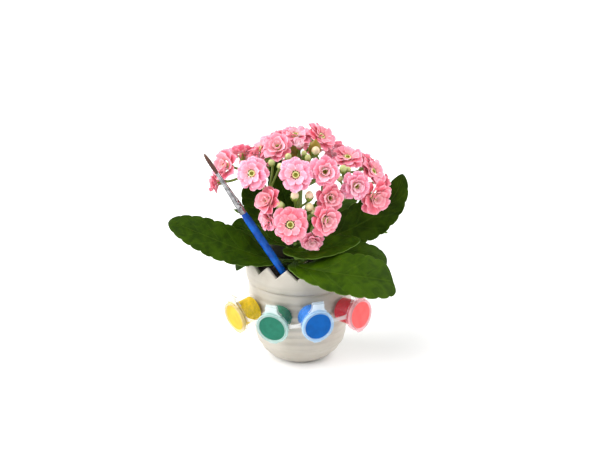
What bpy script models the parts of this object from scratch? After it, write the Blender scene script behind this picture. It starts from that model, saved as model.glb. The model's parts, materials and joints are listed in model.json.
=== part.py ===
"""Potted kalanchoe with a painting kit.

A pink double-flowered kalanchoe grows in a white pot with a zig-zag rim. A moulded strip of four
lidded paint cups is carried round the front of the pot, and a small brush stands in the soil.
Sizes below are millimetres and degrees, and MM turns them into the metres that the meshes hold.
The origin is the centre of the pot's flat base: +Z up, -Y towards the viewer, +X to the right.
Azimuths start at the front and grow to the right, so 90 is +X and 180 is straight back.
"""
import math

import bmesh
import bpy
import numpy as np
from mathutils import Matrix, Vector

MM = 0.001
GAP = 0.3

# Pot: outer and inner profiles as radius and height, then the zig-zag rim
TEETH = 16
VALLEY_AZIMUTH = -3.2
VALLEY_HEIGHT = 65.2
TIP_HEIGHT = 71.8
RIM_RADIUS_OUTER = 36.0
RIM_RADIUS_INNER = 33.2
POT_OUTSIDE = [
    (16.5, 0.0), (21.8, 3.0), (25.4, 7.0), (28.9, 12.8), (29.3, 13.6), (30.4, 21.8),
    (31.0, 22.6), (32.6, 31.0), (33.8, 40.0), (34.4, 49.0), (34.2, 53.2), (33.6, 54.1),
    (35.4, 55.2), (36.0, 61.0),
]
POT_INSIDE = [(32.8, 61.0), (31.2, 50.0), (28.6, 27.0), (23.0, 9.5), (13.0, 4.0)]

# Soil: fills the pot to a low mound
SOIL_EDGE_HEIGHT = 56.5
SOIL_MOUND = [(23.0, 57.6), (11.0, 58.4)]
SOIL_PEAK = 58.6

# Plant: the main stem stands in a hole in the soil
STEM_X = -1.0
STEM_Y = -4.0
STEM_PROFILE = [(3.1, 36.0), (3.1, 66.0), (2.9, 80.0), (2.3, 92.0)]
STEM_HOLE_RADIUS = 3.6
STEM_HOLE_BOTTOM = 35.6
STEM_SIDES = 8
BRUSH_HOLE_RADIUS = 2.8
HOLE_SIDES = 12

# Brush: bristle tip and lower end of the handle, and the lengths along that line
BRUSH_TIP = Vector((-58.8, -33.2, 147.9))
BRUSH_END = Vector((3.4, -24.3, 43.5))
BRISTLE_LENGTH = 14.6
FERRULE_LENGTH = 31.0
BRUSH_SIDES = 10

# Brush radii from the soil up, and where along the handle its radii are
BRISTLE_RADII = [1.2, 1.35, 1.25, 0.75]
FERRULE_RADII = [2.35, 1.9, 1.45, 1.3]
HANDLE_RADII = [1.3, 1.9, 2.3, 2.45, 2.35, 2.1]
HANDLE_SHARES = [0.0, 0.05, 0.3, 0.7, 0.96, 1.0]

# Paint cups: sizes in the cup's own frame, whose z axis points out of the cup
CUP_SIDES = 18
CUP_LENGTH = 15.0
CUP_BACK_RADIUS = 8.3
CUP_FRONT_RADIUS = 8.9
CUP_BORE = 8.1
CUP_FLOOR = 0.9
FLANGE_RADIUS = 10.3
FLANGE_SINK = 0.8
FLANGE_THICKNESS = 1.8
LID_RADIUS = 10.6
LID_THICKNESS = 1.8
LID_RECESS_RADIUS = 8.8
LID_RECESS = 0.5
PLUG_RADIUS = 7.7
PLUG_DEPTH = 1.5
PAINT_RADIUS = 7.8
PAINT_BELOW_PLUG = 0.4
STRAP_WIDTH = 7.6
STRAP_TOP = 15.0
STRAP_THICKNESS = 0.7
HINGE_HEIGHT = 15.3
TAB_WIDTH = 5.4
TAB_REACH = 11.6
TAB_THICKNESS = 0.8
WEB_WIDTH = 2.6
WEB_FLARE = 3.2
WEB_THICKNESS = 1.0
WEB_RAISE = 1.4

# name, azimuth of the seat on the pot, seat height, azimuth and droop of the cup's axis
CUPS = [
    ("yellow", -58.0, 41.0, -52.0, 12.0),
    ("green", -21.0, 41.0, -20.0, 9.6),
    ("blue", 8.0, 42.0, 21.0, 4.0),
    ("red", 48.5, 41.0, 46.0, -3.0),
]

# Leaves: name, azimuth and height of the petiole, the points that the midrib passes at a third and
# two thirds of its length, the tip, the width, the way that the blade's face looks at the tip, the
# fold along the midrib, where it is widest and the lobes a side
LEAVES = [
    ("leaf_left_long", -85, 67, (-29, -20.6, 77.2), (-58, -20.5, 89.2), (-84.3, -14, 97.2),
     26, (-0.05, -0.72, 0.69), 0.12, 0.46, 11),
    ("leaf_front_right", 5, 67.5, (4, -39, 75), (33, -48, 73.8), (58, -41.5, 67),
     31.5, (0.15, -0.62, 0.78), 0.08, 0.65, 10),
    ("leaf_right_long", 100, 74, (26, 7, 81.6), (53, 15, 95.0), (67, 20, 119),
     29, (-0.5, -0.82, 0.25), 0.10, 0.42, 10),
    ("leaf_right_edge_on", 10, 78, (-1, -26, 81), (17, -30.5, 85.4), (37.5, -28, 90.5),
     21.5, (0.05, -0.35, 0.94), 0.2, 0.42, 7),
    ("leaf_right_low", 66, 63, (18, -11.2, 71.5), (37.5, -13.5, 76.0), (56, -10.5, 68.2),
     17.5, (0.1, -0.45, 0.88), 0.12, 0.60, 8),
    ("leaf_left_back", -112, 73, (-18, 5, 78.5), (-33, 11, 82), (-45, 14, 86.5),
     16.5, (0.1, -0.75, 0.6), 0.15, 0.60, 7),
    ("leaf_left_upright", -140, 80, (-17, 5, 89), (-27, 10, 101), (-36, 12, 114),
     23, (0.35, -0.85, 0.3), 0.15, 0.55, 8),
    ("leaf_left_low", -65, 61, (-18, -8.5, 68.4), (-31.5, -17.5, 73.9), (-41.5, -18, 66.5),
     12, (-0.3, -0.5, 0.8), 0.12, 0.60, 5),
    ("leaf_front_small", -35, 82, (-9, -12, 86), (-16, -15, 92.5), (-22, -16, 100),
     13, (0.0, -0.9, 0.45), 0.2, 0.60, 4),
    ("leaf_back_left", -160, 76.5, (-13, 20, 79.5), (-28, 43, 84), (-38, 66, 78),
     30, (-0.2, 0.3, 0.93), 0.12, 0.60, 9),
    ("leaf_back_right", 160, 71, (8, 23, 79.5), (23, 46, 88), (36, 67, 91),
     28, (0.2, 0.3, 0.93), 0.12, 0.60, 9),
    ("leaf_middle_upright", -170, 84, (-7.4, 9.5, 97), (-12.6, 12, 113), (-15.5, 16, 130),
     17.5, (0.1, -0.95, 0.2), 0.15, 0.55, 8),
    ("leaf_back_low", 130, 66, (18, 13.5, 72.5), (36, 24, 77), (58, 36, 72),
     24, (0.2, 0.2, 0.95), 0.12, 0.60, 8),
]
PETIOLE_HALF_WIDTH = 1.7
PETIOLE_THICKNESS = 2.6
LEAF_CLEARANCE = 0.4
LEAF_THICKNESS = 1.7
LEAF_EDGE_THICKNESS = 0.8
LEAF_EDGE_THINNING = 1.0

# Leaf outline, as shares of the blade's length or half width
BLADE_START = 0.12
BLADE_END = 0.985
OVAL_POWER = 1.05
LOBE_DEPTH = 0.09
LOBE_FADE = 0.3

# Share of a leaf's length where its blade has turned to the way that its tip faces
TWIST_END = 0.65

# Flower heads: the hubs of the branching stem, each with the hub that it grows from, and the radii of
# branches, stalks and buds along their lengths
HUBS = {
    "top": ("stem", (-1, -6, 118)),
    "left": ("stem", (-20, -12, 116)),
    "left_back": ("left", (-30, 2, 124)),
    "front": ("stem", (-3, -18, 106)),
    "right": ("stem", (14, -14, 108)),
    "right_far": ("right", (30, -6, 112)),
    "crown": ("top", (0, -2, 134)),
    "back": ("stem", (0, 14, 112)),
    "back_left": ("back", (-14, 24, 120)),
    "back_right": ("back", (16, 22, 118)),
}

BRANCH_RADII = [1.9, 1.6, 1.5]
BRANCH_SAG = 1.5
STALK_RADII = [1.0, 0.9, 1.0]
CALYX_RADIUS = 1.9
CALYX_LENGTH = 2.4
BUD_STALK_RADII = [0.9, 0.8, 0.9]
BUD_RADII = [0.9, 1.0, 0.35]
BUD_STATIONS = [-0.5, 0.3, 1.1]

# Blooms: name, hub, centre, azimuth and elevation that it faces, kind, radius
BLOOMS = [
    ("bloom_01", "left", (-30.0, -30.0, 134.5), -15, 25, "open", 10.2),
    ("bloom_02", "front", (-3.0, -38.0, 136.0), -3, 25, "open", 10.4),
    ("bloom_03", "right", (14.8, -33.0, 136.5), 10, 20, "half", 9.4),
    ("bloom_04", "front", (-6.3, -43.6, 105.8), 0, 12, "open", 11.4),
    ("bloom_05", "right", (15.4, -37.0, 106.4), 30, 5, "half", 9.8),
    ("bloom_06", "left", (-20.0, -34.0, 118.0), -45, 30, "half", 8.8),
    ("bloom_07", "left", (-20.6, -33.5, 105.8), -60, 0, "half", 7.2),
    ("bloom_08", "right", (18.0, -30.3, 118.8), 20, 8, "half", 8.8),
    ("bloom_09", "right_far", (34.8, -24.0, 124.6), 15, 5, "half", 9.1),
    ("bloom_10", "right_far", (46.8, -15.5, 114.4), 34, -5, "half", 10.9),
    ("bloom_11", "right_far", (47.0, 2.0, 126.2), 62, 34, "open", 10.2),
    ("bloom_12", "right_far", (30.0, -2.0, 137.0), 30, 70, "open", 10.6),
    ("bloom_13", "crown", (-14.2, -14.0, 146.8), -15, 38, "half", 9.4),
    ("bloom_14", "left_back", (-26.0, 1.0, 141.6), -80, 40, "open", 10.0),
    ("bloom_15", "crown", (-3.2, 0.0, 151.2), 0, 76, "open", 9.8),
    ("bloom_16", "crown", (13.6, 3.0, 149.4), 66, 45, "open", 11.0),
    ("bloom_17", "left_back", (-47.0, -12.0, 134.4), -52, 24, "half", 10.6),
    ("bloom_18", "left_back", (-38.0, 9.0, 136.6), 200, 60, "half", 9.4),
    ("bloom_19", "left_back", (-54.0, -6.0, 121.8), -90, 0, "half", 7.6),
    ("bloom_20", "right", (7.2, -36.0, 92.5), 5, -25, "half", 7.4),
    ("bloom_21", "right_far", (55.0, 9.0, 115.6), 90, -5, "half", 6.2),
    ("bloom_22", "crown", (-0.8, -15.4, 148.6), 0, 45, "tight", 6.4),
    ("bloom_23", "back", (-12.5, 19.5, 143.6), 190, 65, "open", 10.0),
    ("bloom_24", "back_right", (9.5, 22.0, 145.5), 165, 60, "open", 10.4),
    ("bloom_25", "back_right", (28.0, 20.0, 131.5), 130, 50, "open", 10.0),
    ("bloom_26", "back_left", (-32.0, 25.5, 130.5), 225, 45, "open", 10.4),
    ("bloom_27", "back_left", (-14.0, 36.0, 138.0), 200, 40, "open", 10.4),
    ("bloom_28", "back_right", (8.0, 40.0, 134.0), 175, 35, "half", 10.0),
    ("bloom_29", "back_right", (26.0, 36.0, 128.0), 150, 30, "open", 10.6),
    ("bloom_30", "back_left", (-2.0, 45.0, 116.0), 180, 10, "open", 10.4),
    ("bloom_31", "back_left", (-26.0, 40.0, 120.0), 210, 15, "open", 10.4),
    ("bloom_32", "back_right", (44.0, 24.0, 124.0), 120, 25, "open", 10.2),
]

# Whorls of each kind of bloom at radius 10: petal length, width, rise at the root, rise at the tip,
# height of the band that it grows from, and whether its tip is blunt
BLOOM_KINDS = {
    "open": [(8.3, 6.3, 10, -6, 3.4, True), (5.6, 4.3, 36, 20, 4.8, False)],
    "half": [(8.6, 5.8, 34, 14, 3.2, True), (6.2, 3.8, 56, 40, 4.6, False)],
    "tight": [(8.4, 4.4, 50, 40, 3.2, True), (6.6, 2.6, 68, 62, 4.6, False)],
}
WHORL_PETALS_NEAR = 7
WHORL_PETALS_FAR = 6
NEAR_BLOOMS = 12
BLOOM_BASE = 4.6
TUBE_RADIUS = 1.6
CORE_RADIUS = 2.2
BAND_HEIGHT = 0.8
HEART = [(1.8, 2.6), (0.7, 3.8)]
PETAL_HALF_THICKNESS = 0.36
PETAL_TWIST = 13.0
PETAL_SHOULDER = 0.58
PETAL_BLUNTNESS = 0.44

# Buds: hub, centre, azimuth and elevation that it points to, radius
BUDS = [
    ("front", (-3.6, -36.0, 122.0), 0, 65, 2.9),
    ("front", (5.4, -34.0, 121.5), 15, 70, 2.9),
    ("front", (5.4, -37.0, 115.0), 20, 40, 2.9),
    ("left", (-12.6, -38.0, 116.6), -30, 30, 2.8),
    ("crown", (9.4, -15.0, 144.5), 10, 60, 3.0),
    ("crown", (4.5, -18.0, 141.0), 5, 60, 2.3),
    ("right_far", (26.5, -22.0, 135.0), 10, 60, 2.6),
    ("right", (8.0, -36.0, 112.0), 20, 10, 2.4),
    ("left_back", (-20.0, 14.0, 139.0), 200, 70, 2.6),
    ("back", (-3.0, 30.5, 138.5), 180, 60, 2.8),
    ("left", (-18.0, -24.0, 139.6), -20, 50, 2.3),
    ("left", (-12.6, -26.5, 138.2), 10, 40, 2.2),
    ("crown", (-7.6, -22.0, 143.0), 0, 50, 2.3),
    ("right_far", (24.6, -22.0, 128.6), 0, 30, 2.2),
    ("right_far", (29.6, -19.0, 133.4), 20, 50, 2.2),
    ("crown", (2.2, -16.5, 143.5), -10, 55, 1.9),
]

# Empty calyces under the flower heads: hub, base, tip, width, thickness
BRACTS = [
    ("crown", (-4.4, -7.0, 138.6), (-5.6, -7.0, 148.4), 7.0, 3.2),
    ("crown", (8.2, -9.6, 139.6), (9.6, -10.4, 151.4), 8.0, 3.4),
]
BRACT_SHARES = [0.0, 0.3, 0.7, 1.0]
BRACT_WIDTHS = [0.3, 0.95, 0.85, 0.15]


def material(name, colour, roughness, metallic=0.0):
    """A Principled material with one colour, roughness and metallic value."""
    made = bpy.data.materials.new(name)
    made.use_nodes = True
    shader = made.node_tree.nodes["Principled BSDF"]
    shader.inputs["Base Color"].default_value = (*colour, 1.0)
    shader.inputs["Roughness"].default_value = roughness
    shader.inputs["Metallic"].default_value = metallic
    made.diffuse_color = (*colour, 1.0)
    return made


def azimuth_vector(azimuth, elevation=0.0):
    """The unit vector at an azimuth from the front, raised by an elevation."""
    turn, rise = math.radians(azimuth), math.radians(elevation)
    return np.array([
        math.sin(turn) * math.cos(rise),
        -math.cos(turn) * math.cos(rise),
        math.sin(rise),
    ])


def unit(vector):
    """The vector, or each row of an array of vectors, at length 1."""
    vector = np.asarray(vector, float)
    return vector / np.linalg.norm(vector, axis=-1, keepdims=True)


def add_object(name, points, faces, finish, smooth_angle=35.0):
    """One mesh object from points in millimetres, its faces turned outwards."""
    mesh = bpy.data.meshes.new(name)
    mesh.from_pydata([tuple(MM * value for value in point) for point in points], [], faces)
    work = bmesh.new()
    work.from_mesh(mesh)
    bmesh.ops.recalc_face_normals(work, faces=work.faces)
    work.to_mesh(mesh)
    work.free()
    mesh.shade_smooth()
    mesh.set_sharp_from_angle(angle=math.radians(smooth_angle))
    mesh.materials.append(finish)
    piece = bpy.data.objects.new(name, mesh)
    bpy.context.collection.objects.link(piece)
    return piece


def loft(rings):
    """Points and faces of a solid skinned over rings of equal length, with a cap at each end."""
    rows, sides = len(rings), len(rings[0])
    points = [point for ring in rings for point in ring]
    faces = [tuple(range(sides)), tuple(range((rows - 1) * sides, rows * sides))]
    for row in range(rows - 1):
        for side in range(sides):
            near, far = row * sides, (row + 1) * sides
            beside = (side + 1) % sides
            faces.append((near + side, near + beside, far + beside, far + side))
    return points, faces


def circle(radius, height, sides, start=0.0):
    """Points of a level circle, counted from the front, as an array."""
    turn = np.radians(start) + np.arange(sides) * 2 * np.pi / sides
    return np.stack([radius * np.sin(turn), -radius * np.cos(turn), np.full(sides, height)], axis=1)


def turned(profile, sides, start=0.0):
    """Rings of a turned shape from a profile of radius and height."""
    return [circle(radius, height, sides, start) for radius, height in profile]


def tube(path, radii, sides):
    """Rings of a tube along a path, with a radius at each point of it."""
    path = np.asarray(path, float)
    along = unit(np.gradient(path, axis=0))
    side = unit(np.cross(along[0], (0.31, 0.23, 0.92)))
    rings = []
    for centre, forward, radius in zip(path, along, radii):
        side = unit(side - forward * np.dot(side, forward))
        across = np.cross(forward, side)
        turn = np.arange(sides) * 2 * np.pi / sides
        rings.append(centre + radius * (np.outer(np.cos(turn), side) + np.outer(np.sin(turn), across)))
    return rings


def bezier(start, bend_a, bend_b, end, t):
    """Points at the parameters t of a cubic curve."""
    t = np.asarray(t, float)[:, None]
    start, bend_a, bend_b, end = (np.asarray(p, float) for p in (start, bend_a, bend_b, end))
    u = 1 - t
    return u**3 * start + 3 * u**2 * t * bend_a + 3 * u * t**2 * bend_b + t**3 * end


def blade(middle, offset, triangles, outline):
    """Closed thin solid: the points moved up and down by offset, with triangles alike on both faces."""
    count = len(middle)
    points = np.concatenate([middle + offset, middle - offset])
    faces = [tuple(face) for face in triangles]
    faces += [tuple(count + index for index in reversed(face)) for face in triangles]
    for here, there in zip(outline, outline[1:] + outline[:1]):
        faces.append((here, there, count + there))
        faces.append((here, count + there, count + here))
    return points, faces


def join(name, parts, finish):
    """One closed object from a Boolean union of several point-and-face solids."""
    pieces = [add_object(f"{name}_part_{i}", *solid, finish) for i, solid in enumerate(parts)]
    base, others = pieces[0], pieces[1:]
    group = bpy.data.collections.new(name + "_parts")
    for piece in others:
        group.objects.link(piece)
    union = base.modifiers.new("union", "BOOLEAN")
    union.operation = "UNION"
    union.solver = "EXACT"
    union.operand_type = "COLLECTION"
    union.collection = group
    bpy.context.view_layer.update()
    graph = bpy.context.evaluated_depsgraph_get()
    mesh = bpy.data.meshes.new_from_object(base.evaluated_get(graph))
    for piece in pieces:
        bpy.data.objects.remove(piece, do_unlink=True)
    bpy.data.collections.remove(group)
    mesh.name = name
    joined = bpy.data.objects.new(name, mesh)
    bpy.context.collection.objects.link(joined)
    return joined


def put(piece, location, turn=None):
    """Moves a piece to a place in millimetres, turned by a quaternion."""
    piece.location = Vector(location) * MM
    if turn is not None:
        piece.rotation_mode = "QUATERNION"
        piece.rotation_quaternion = turn


def cut(piece, name, points, faces):
    """Cuts a hidden solid out of a piece."""
    cutter = add_object(name, points, faces, piece.data.materials[0])
    cutter.hide_render = True
    cutter.display_type = "WIRE"
    hole = piece.modifiers.new(name, "BOOLEAN")
    hole.operation = "DIFFERENCE"
    hole.solver = "EXACT"
    hole.object = cutter


def pot_radius(height):
    """Radius of the pot's outside at a height."""
    return float(np.interp(height, [z for _, z in POT_OUTSIDE], [r for r, _ in POT_OUTSIDE]))


def rim_ring(radius, columns):
    """The rim's edge: every second point is a valley and the points between are tips."""
    ring = circle(radius, VALLEY_HEIGHT, columns, VALLEY_AZIMUTH)
    ring[1::2, 2] = TIP_HEIGHT
    return ring


def make_pot(finish):
    """The pot: outside profile, toothed rim and inside profile in one skin."""
    columns = 2 * TEETH
    rings = turned(POT_OUTSIDE, columns, VALLEY_AZIMUTH)
    rings += [rim_ring(RIM_RADIUS_OUTER, columns), rim_ring(RIM_RADIUS_INNER, columns)]
    rings += turned(POT_INSIDE, columns, VALLEY_AZIMUTH)
    add_object("pot", *loft(rings), finish)


def make_soil(finish):
    """The soil: fits inside the pot, with plain holes for the stem and the brush."""
    columns = 2 * TEETH
    inner_z = [z for _, z in reversed(POT_INSIDE)]
    inner_r = [r for r, _ in reversed(POT_INSIDE)]
    edge_radius = float(np.interp(SOIL_EDGE_HEIGHT, inner_z, inner_r)) - GAP
    profile = [(inner_r[0] - GAP, inner_z[0] + GAP)]
    profile += [(r - GAP, z + GAP / 2) for r, z in zip(inner_r[1:-1], inner_z[1:-1])]
    profile += [(edge_radius, SOIL_EDGE_HEIGHT)]
    profile += SOIL_MOUND + [(2.0, SOIL_PEAK)]
    soil = add_object("soil", *loft(turned(profile, columns, VALLEY_AZIMUTH)), finish)
    stem_hole = turned([(STEM_HOLE_RADIUS, STEM_HOLE_BOTTOM), (STEM_HOLE_RADIUS, 62.0)], HOLE_SIDES)
    stem_hole = [ring + np.array([STEM_X, STEM_Y, 0.0]) for ring in stem_hole]
    cut(soil, "stem_hole", *loft(stem_hole))
    down = (BRUSH_END - BRUSH_TIP).normalized()
    low, high = BRUSH_END + down * GAP, BRUSH_END - down * 30.0
    brush_hole = tube([low, (low + high) / 2, high], [BRUSH_HOLE_RADIUS] * 3, BRUSH_SIDES)
    cut(soil, "brush_hole", *loft(brush_hole))


def leaf_half_width(s, half_width, widest, lobes):
    """Half the blade's width at s, from 0 at its start to 1 at its tip: an oval with round lobes.

    The oval is s^a (1 - s)^b, which is widest at s = a / (a + b).
    """
    a, b = OVAL_POWER * widest, OVAL_POWER * (1 - widest)
    oval = s**a * (1 - s) ** b / (widest**a * (1 - widest) ** b)
    notch = (1 - np.abs(np.sin(np.pi * lobes * s))) ** 2
    return half_width * oval * (1 - LOBE_DEPTH * notch * np.clip(s / LOBE_FADE, 0, 1))


def through(start, third, two_thirds, end):
    """The four points of a cubic curve that passes two points at a third and two thirds of its way."""
    start, third, two_thirds, end = (np.asarray(p, float) for p in (start, third, two_thirds, end))
    bend_a = (-5 * start + 18 * third - 9 * two_thirds + 2 * end) / 6
    bend_b = (2 * start - 9 * third + 18 * two_thirds - 5 * end) / 6
    return start, bend_a, bend_b, end


def make_leaf(leaf, finish):
    """One leaf: a petiole that widens to a lobed blade, folded a little along its midrib."""
    name, azimuth, height, third, two_thirds, tip, width, face, fold, widest, lobes = leaf
    stem_radius = np.interp(height, [z for _, z in STEM_PROFILE], [r for r, _ in STEM_PROFILE])
    outward = azimuth_vector(azimuth)
    root = np.array([STEM_X, STEM_Y, height]) + outward * (stem_radius + LEAF_CLEARANCE)
    curve = through(root, third, two_thirds, tip)
    s = np.append(np.arange(1, 2 * lobes) / (2 * lobes), BLADE_END)
    t = np.concatenate([[0.0, BLADE_START], BLADE_START + (1 - BLADE_START) * s])
    path = bezier(*curve, t)
    along = unit(bezier(*curve, t + 0.01) - bezier(*curve, t - 0.01))
    along[0] = outward
    turn = np.clip(t / TWIST_END, 0, 1)
    blend = (turn * turn * (3 - 2 * turn))[:, None]
    facing = (1 - blend) * np.array([0.0, 0.0, 1.0]) + blend * unit(face)
    side = unit(np.cross(along, facing))
    normal = unit(np.cross(side, along))
    blade_width = leaf_half_width(np.concatenate([[0.0, 0.0], s]), width / 2, widest, lobes)
    half = np.maximum(blade_width, PETIOLE_HALF_WIDTH)
    petiole = np.clip(1 - t / 0.3, 0, 1)
    thickness = LEAF_THICKNESS + (PETIOLE_THICKNESS - LEAF_THICKNESS) * petiole
    edge = np.maximum(LEAF_EDGE_THICKNESS, thickness - LEAF_EDGE_THINNING)
    middle, offset = [], []
    for across in (-1, 0, 1):
        thick = edge if across else thickness
        middle.append(path - root + (side * across + normal * abs(across) * fold) * half[:, None])
        offset.append(normal * (thick / 2)[:, None])
    middle = np.stack(middle, axis=1).reshape(-1, 3)
    offset = np.stack(offset, axis=1).reshape(-1, 3)
    stations = len(t)
    triangles = []
    for i in range(stations - 1):
        for j in range(2):
            near = 3 * i + j
            triangles += [(near, near + 1, near + 4), (near, near + 4, near + 3)]
    left = [3 * i for i in range(stations)]
    right = [3 * i + 2 for i in range(stations)]
    outline = left + [left[-1] + 1] + right[::-1] + [1]
    put(add_object(name, *blade(middle, offset, triangles, outline), finish, 60.0), root)


def petal_points(azimuth, height, length, width, rise, droop, blunt):
    """A petal's wide middle and its tip in the bloom's frame: points of its top, then of its bottom."""
    turn, roll = math.radians(azimuth), math.radians(PETAL_TWIST)
    outward = np.array([math.cos(turn), math.sin(turn), 0.0])
    across = np.array([-math.sin(turn), math.cos(turn), 0.0])
    up = np.array([0.0, 0.0, 1.0])
    place = outward * CORE_RADIUS + up * (height + BAND_HEIGHT / 2)
    top, bottom = [], []
    tip_width = PETAL_BLUNTNESS * width if blunt else 0.0
    for step, angle, wide in ((PETAL_SHOULDER, rise, width), (1 - PETAL_SHOULDER, droop, tip_width)):
        slope = math.radians(angle)
        place = place + (outward * math.cos(slope) + up * math.sin(slope)) * step * length
        normal = up * math.cos(slope) - outward * math.sin(slope)
        edge = across * math.cos(roll) + normal * math.sin(roll)
        for sign in ((-1, 1) if wide else (0,)):
            top.append(place + edge * (sign * wide / 2) + normal * PETAL_HALF_THICKNESS)
            bottom.append(place + edge * (sign * wide / 2) - normal * PETAL_HALF_THICKNESS)
    return top, bottom


def petal_faces(top, bottom):
    """Faces of a petal from point numbers, root first, split alike above and below; its root is open."""
    blunt = len(top) == 6
    triangles = [(0, 1, 3), (0, 3, 2)] + ([(2, 3, 5), (2, 5, 4)] if blunt else [(2, 3, 4)])
    edge = [1, 3, 5, 4, 2, 0] if blunt else [1, 3, 4, 2, 0]
    faces = []
    for a, b, c in triangles:
        faces += [(top[a], top[b], top[c]), (bottom[c], bottom[b], bottom[a])]
    for here, there in zip(edge, edge[1:]):
        faces += [(top[here], bottom[here], bottom[there]), (top[here], bottom[there], top[there])]
    return faces


def bloom_solid(kind, radius, petals, seed):
    """A double bloom as one skin: a tube, two bands of petals above each other and a closed bud.

    Each whorl is a band of the core with one facet for each petal, and a petal grows out of its facet,
    so it keeps the facet's four corners as its root.
    """
    random = np.random.default_rng(seed)
    size = radius / 10.0
    step = 360.0 / petals
    points, faces = [], []

    def ring(ring_radius, height, start):
        turn = np.radians(start + np.arange(petals) * step)
        first = len(points)
        points.extend(np.stack([ring_radius * np.cos(turn), ring_radius * np.sin(turn),
                                np.full(petals, height)], axis=1))
        return list(range(first, first + petals))

    def strip(low, high):
        for index in range(petals):
            beside = (index + 1) % petals
            faces.extend([(low[index], low[beside], high[beside]), (low[index], high[beside], high[index])])

    start = random.uniform(0, 360)
    below = ring(TUBE_RADIUS, 0.0, start)
    faces.append(tuple(below))
    for length, width, rise, droop, height, blunt in BLOOM_KINDS[kind]:
        start += step / 2
        low = ring(CORE_RADIUS, height, start)
        high = ring(CORE_RADIUS, height + BAND_HEIGHT, start)
        strip(below, low)
        for index in range(petals):
            beside = (index + 1) % petals
            top, bottom = petal_points(
                start + (index + 0.5) * step, height, length * size * random.uniform(0.93, 1.05),
                width * size * WHORL_PETALS_NEAR / petals, rise + random.uniform(-4, 4), droop, blunt)
            first = len(points)
            points.extend(top + bottom)
            upper = list(range(first, first + len(top)))
            lower = list(range(first + len(top), len(points)))
            upper = [high[index], high[beside]] + upper
            lower = [low[index], low[beside]] + lower
            faces.extend(petal_faces(upper, lower))
        below = high
    for heart_radius, rise in HEART:
        start += step / 2
        above = ring(heart_radius * size, height + rise, start)
        strip(below, above)
        below = above
    faces.append(tuple(below))
    return points, faces


def aim(direction):
    """The rotation that turns +Z to a direction."""
    return Vector((0.0, 0.0, 1.0)).rotation_difference(Vector(direction))


def make_blooms(finish):
    """Every bloom, seated just above the end of its own stalk."""
    for index, (name, _, centre, azimuth, elevation, kind, radius) in enumerate(BLOOMS):
        base = np.array(centre) - azimuth_vector(azimuth, elevation) * BLOOM_BASE
        petals = WHORL_PETALS_NEAR if index < NEAR_BLOOMS else WHORL_PETALS_FAR
        bloom = add_object(name, *bloom_solid(kind, radius, petals, index), finish)
        put(bloom, base, aim(azimuth_vector(azimuth, elevation)))


def stalk(start, end, facing, reach):
    """Curve points from a hub to a bloom's base, arriving along the way that the bloom faces."""
    start, end = np.asarray(start, float), np.asarray(end, float)
    bend_a = start + np.array([0.0, 0.0, 1.0]) * reach * 0.6 + (end - start) * 0.15
    return bezier(start, bend_a, end - facing * reach, end, (0.0, 0.55, 1.0))


def make_stems(finish):
    """The green stem with its branches, a stalk and calyx under every bloom, and the closed buds."""
    trunk = [(STEM_X, STEM_Y, height) for _, height in STEM_PROFILE]
    parts = [loft(tube(trunk, [radius for radius, _ in STEM_PROFILE], STEM_SIDES))]
    hub_place = {"stem": np.array(trunk[-1])}
    for hub, (parent, place) in HUBS.items():
        start, end = hub_place[parent], np.array(place, float)
        hub_place[hub] = end
        begin = start - unit(end - start)
        middle = (begin + end) / 2 - (0, 0, BRANCH_SAG)
        parts.append(loft(tube([begin, middle, end], BRANCH_RADII, 5)))
    for _, hub, centre, azimuth, elevation, _, _ in BLOOMS:
        facing = azimuth_vector(azimuth, elevation)
        end = np.array(centre) - facing * (BLOOM_BASE + GAP)
        path = stalk(hub_place[hub] - (0, 0, 0.6), end - facing * CALYX_LENGTH, facing, 5.0)
        parts.append(loft(tube([*path, end], STALK_RADII + [CALYX_RADIUS], 4)))
    for hub, centre, azimuth, elevation, radius in BUDS:
        facing = azimuth_vector(azimuth, elevation)
        path = stalk(hub_place[hub] - (0, 0, 0.6), centre - facing * radius * 1.2, facing, 4.0)
        bud = [centre + facing * radius * station for station in BUD_STATIONS]
        radii = BUD_STALK_RADII + [radius * share for share in BUD_RADII]
        parts.append(loft(tube([*path, *bud], radii, 5)))
    for hub, base, tip, width, thickness in BRACTS:
        base, tip = np.array(base), np.array(tip)
        path = stalk(hub_place[hub] - (0, 0, 0.6), base + unit(tip - base), unit(tip - base), 3.0)
        parts.append(loft(tube(path, STALK_RADII, 4)))
        parts.append(bract(base, tip, width, thickness))
    join("stems", parts, finish)


def bract(start, tip, width, thickness):
    """A calyx as a loft of flat diamonds that stand across its line, its broad side to the front."""
    side = unit(np.cross(tip - start, (0.0, -1.0, 0.0))) * width / 2
    depth = unit(np.cross(side, tip - start)) * thickness / 2
    rings = []
    for share, wide in zip(BRACT_SHARES, BRACT_WIDTHS):
        centre = start + (tip - start) * share
        rings.append(np.array([
            centre - side * wide, centre - depth * wide, centre + side * wide, centre + depth * wide]))
    return loft(rings)


def make_brush(bristle, metal, handle):
    """Bristles, ferrule and handle as turned pieces on one line, which starts in the soil."""
    length = (BRUSH_TIP - BRUSH_END).length
    root = length - BRISTLE_LENGTH
    neck = root - FERRULE_LENGTH
    pieces = [
        ("brush_bristles", (root + GAP, length - 8.0, length - 3.0, length), BRISTLE_RADII, bristle),
        ("brush_ferrule", (neck + GAP, root - 20.0, root - 8.0, root), FERRULE_RADII, metal),
        ("brush_handle", [neck * share for share in HANDLE_SHARES], HANDLE_RADII, handle),
    ]
    for name, heights, radii, finish in pieces:
        piece = add_object(name, *loft(turned(zip(radii, heights), BRUSH_SIDES)), finish)
        put(piece, BRUSH_END, aim(BRUSH_TIP - BRUSH_END))


def cup_axes(azimuth, droop):
    """The cup's x, y and z axes: across, up towards the hinge, and out of the cup."""
    out = azimuth_vector(azimuth, -droop)
    across = unit(np.cross((0.0, 0.0, 1.0), out))
    return np.stack([across, np.cross(out, across), out])


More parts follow.
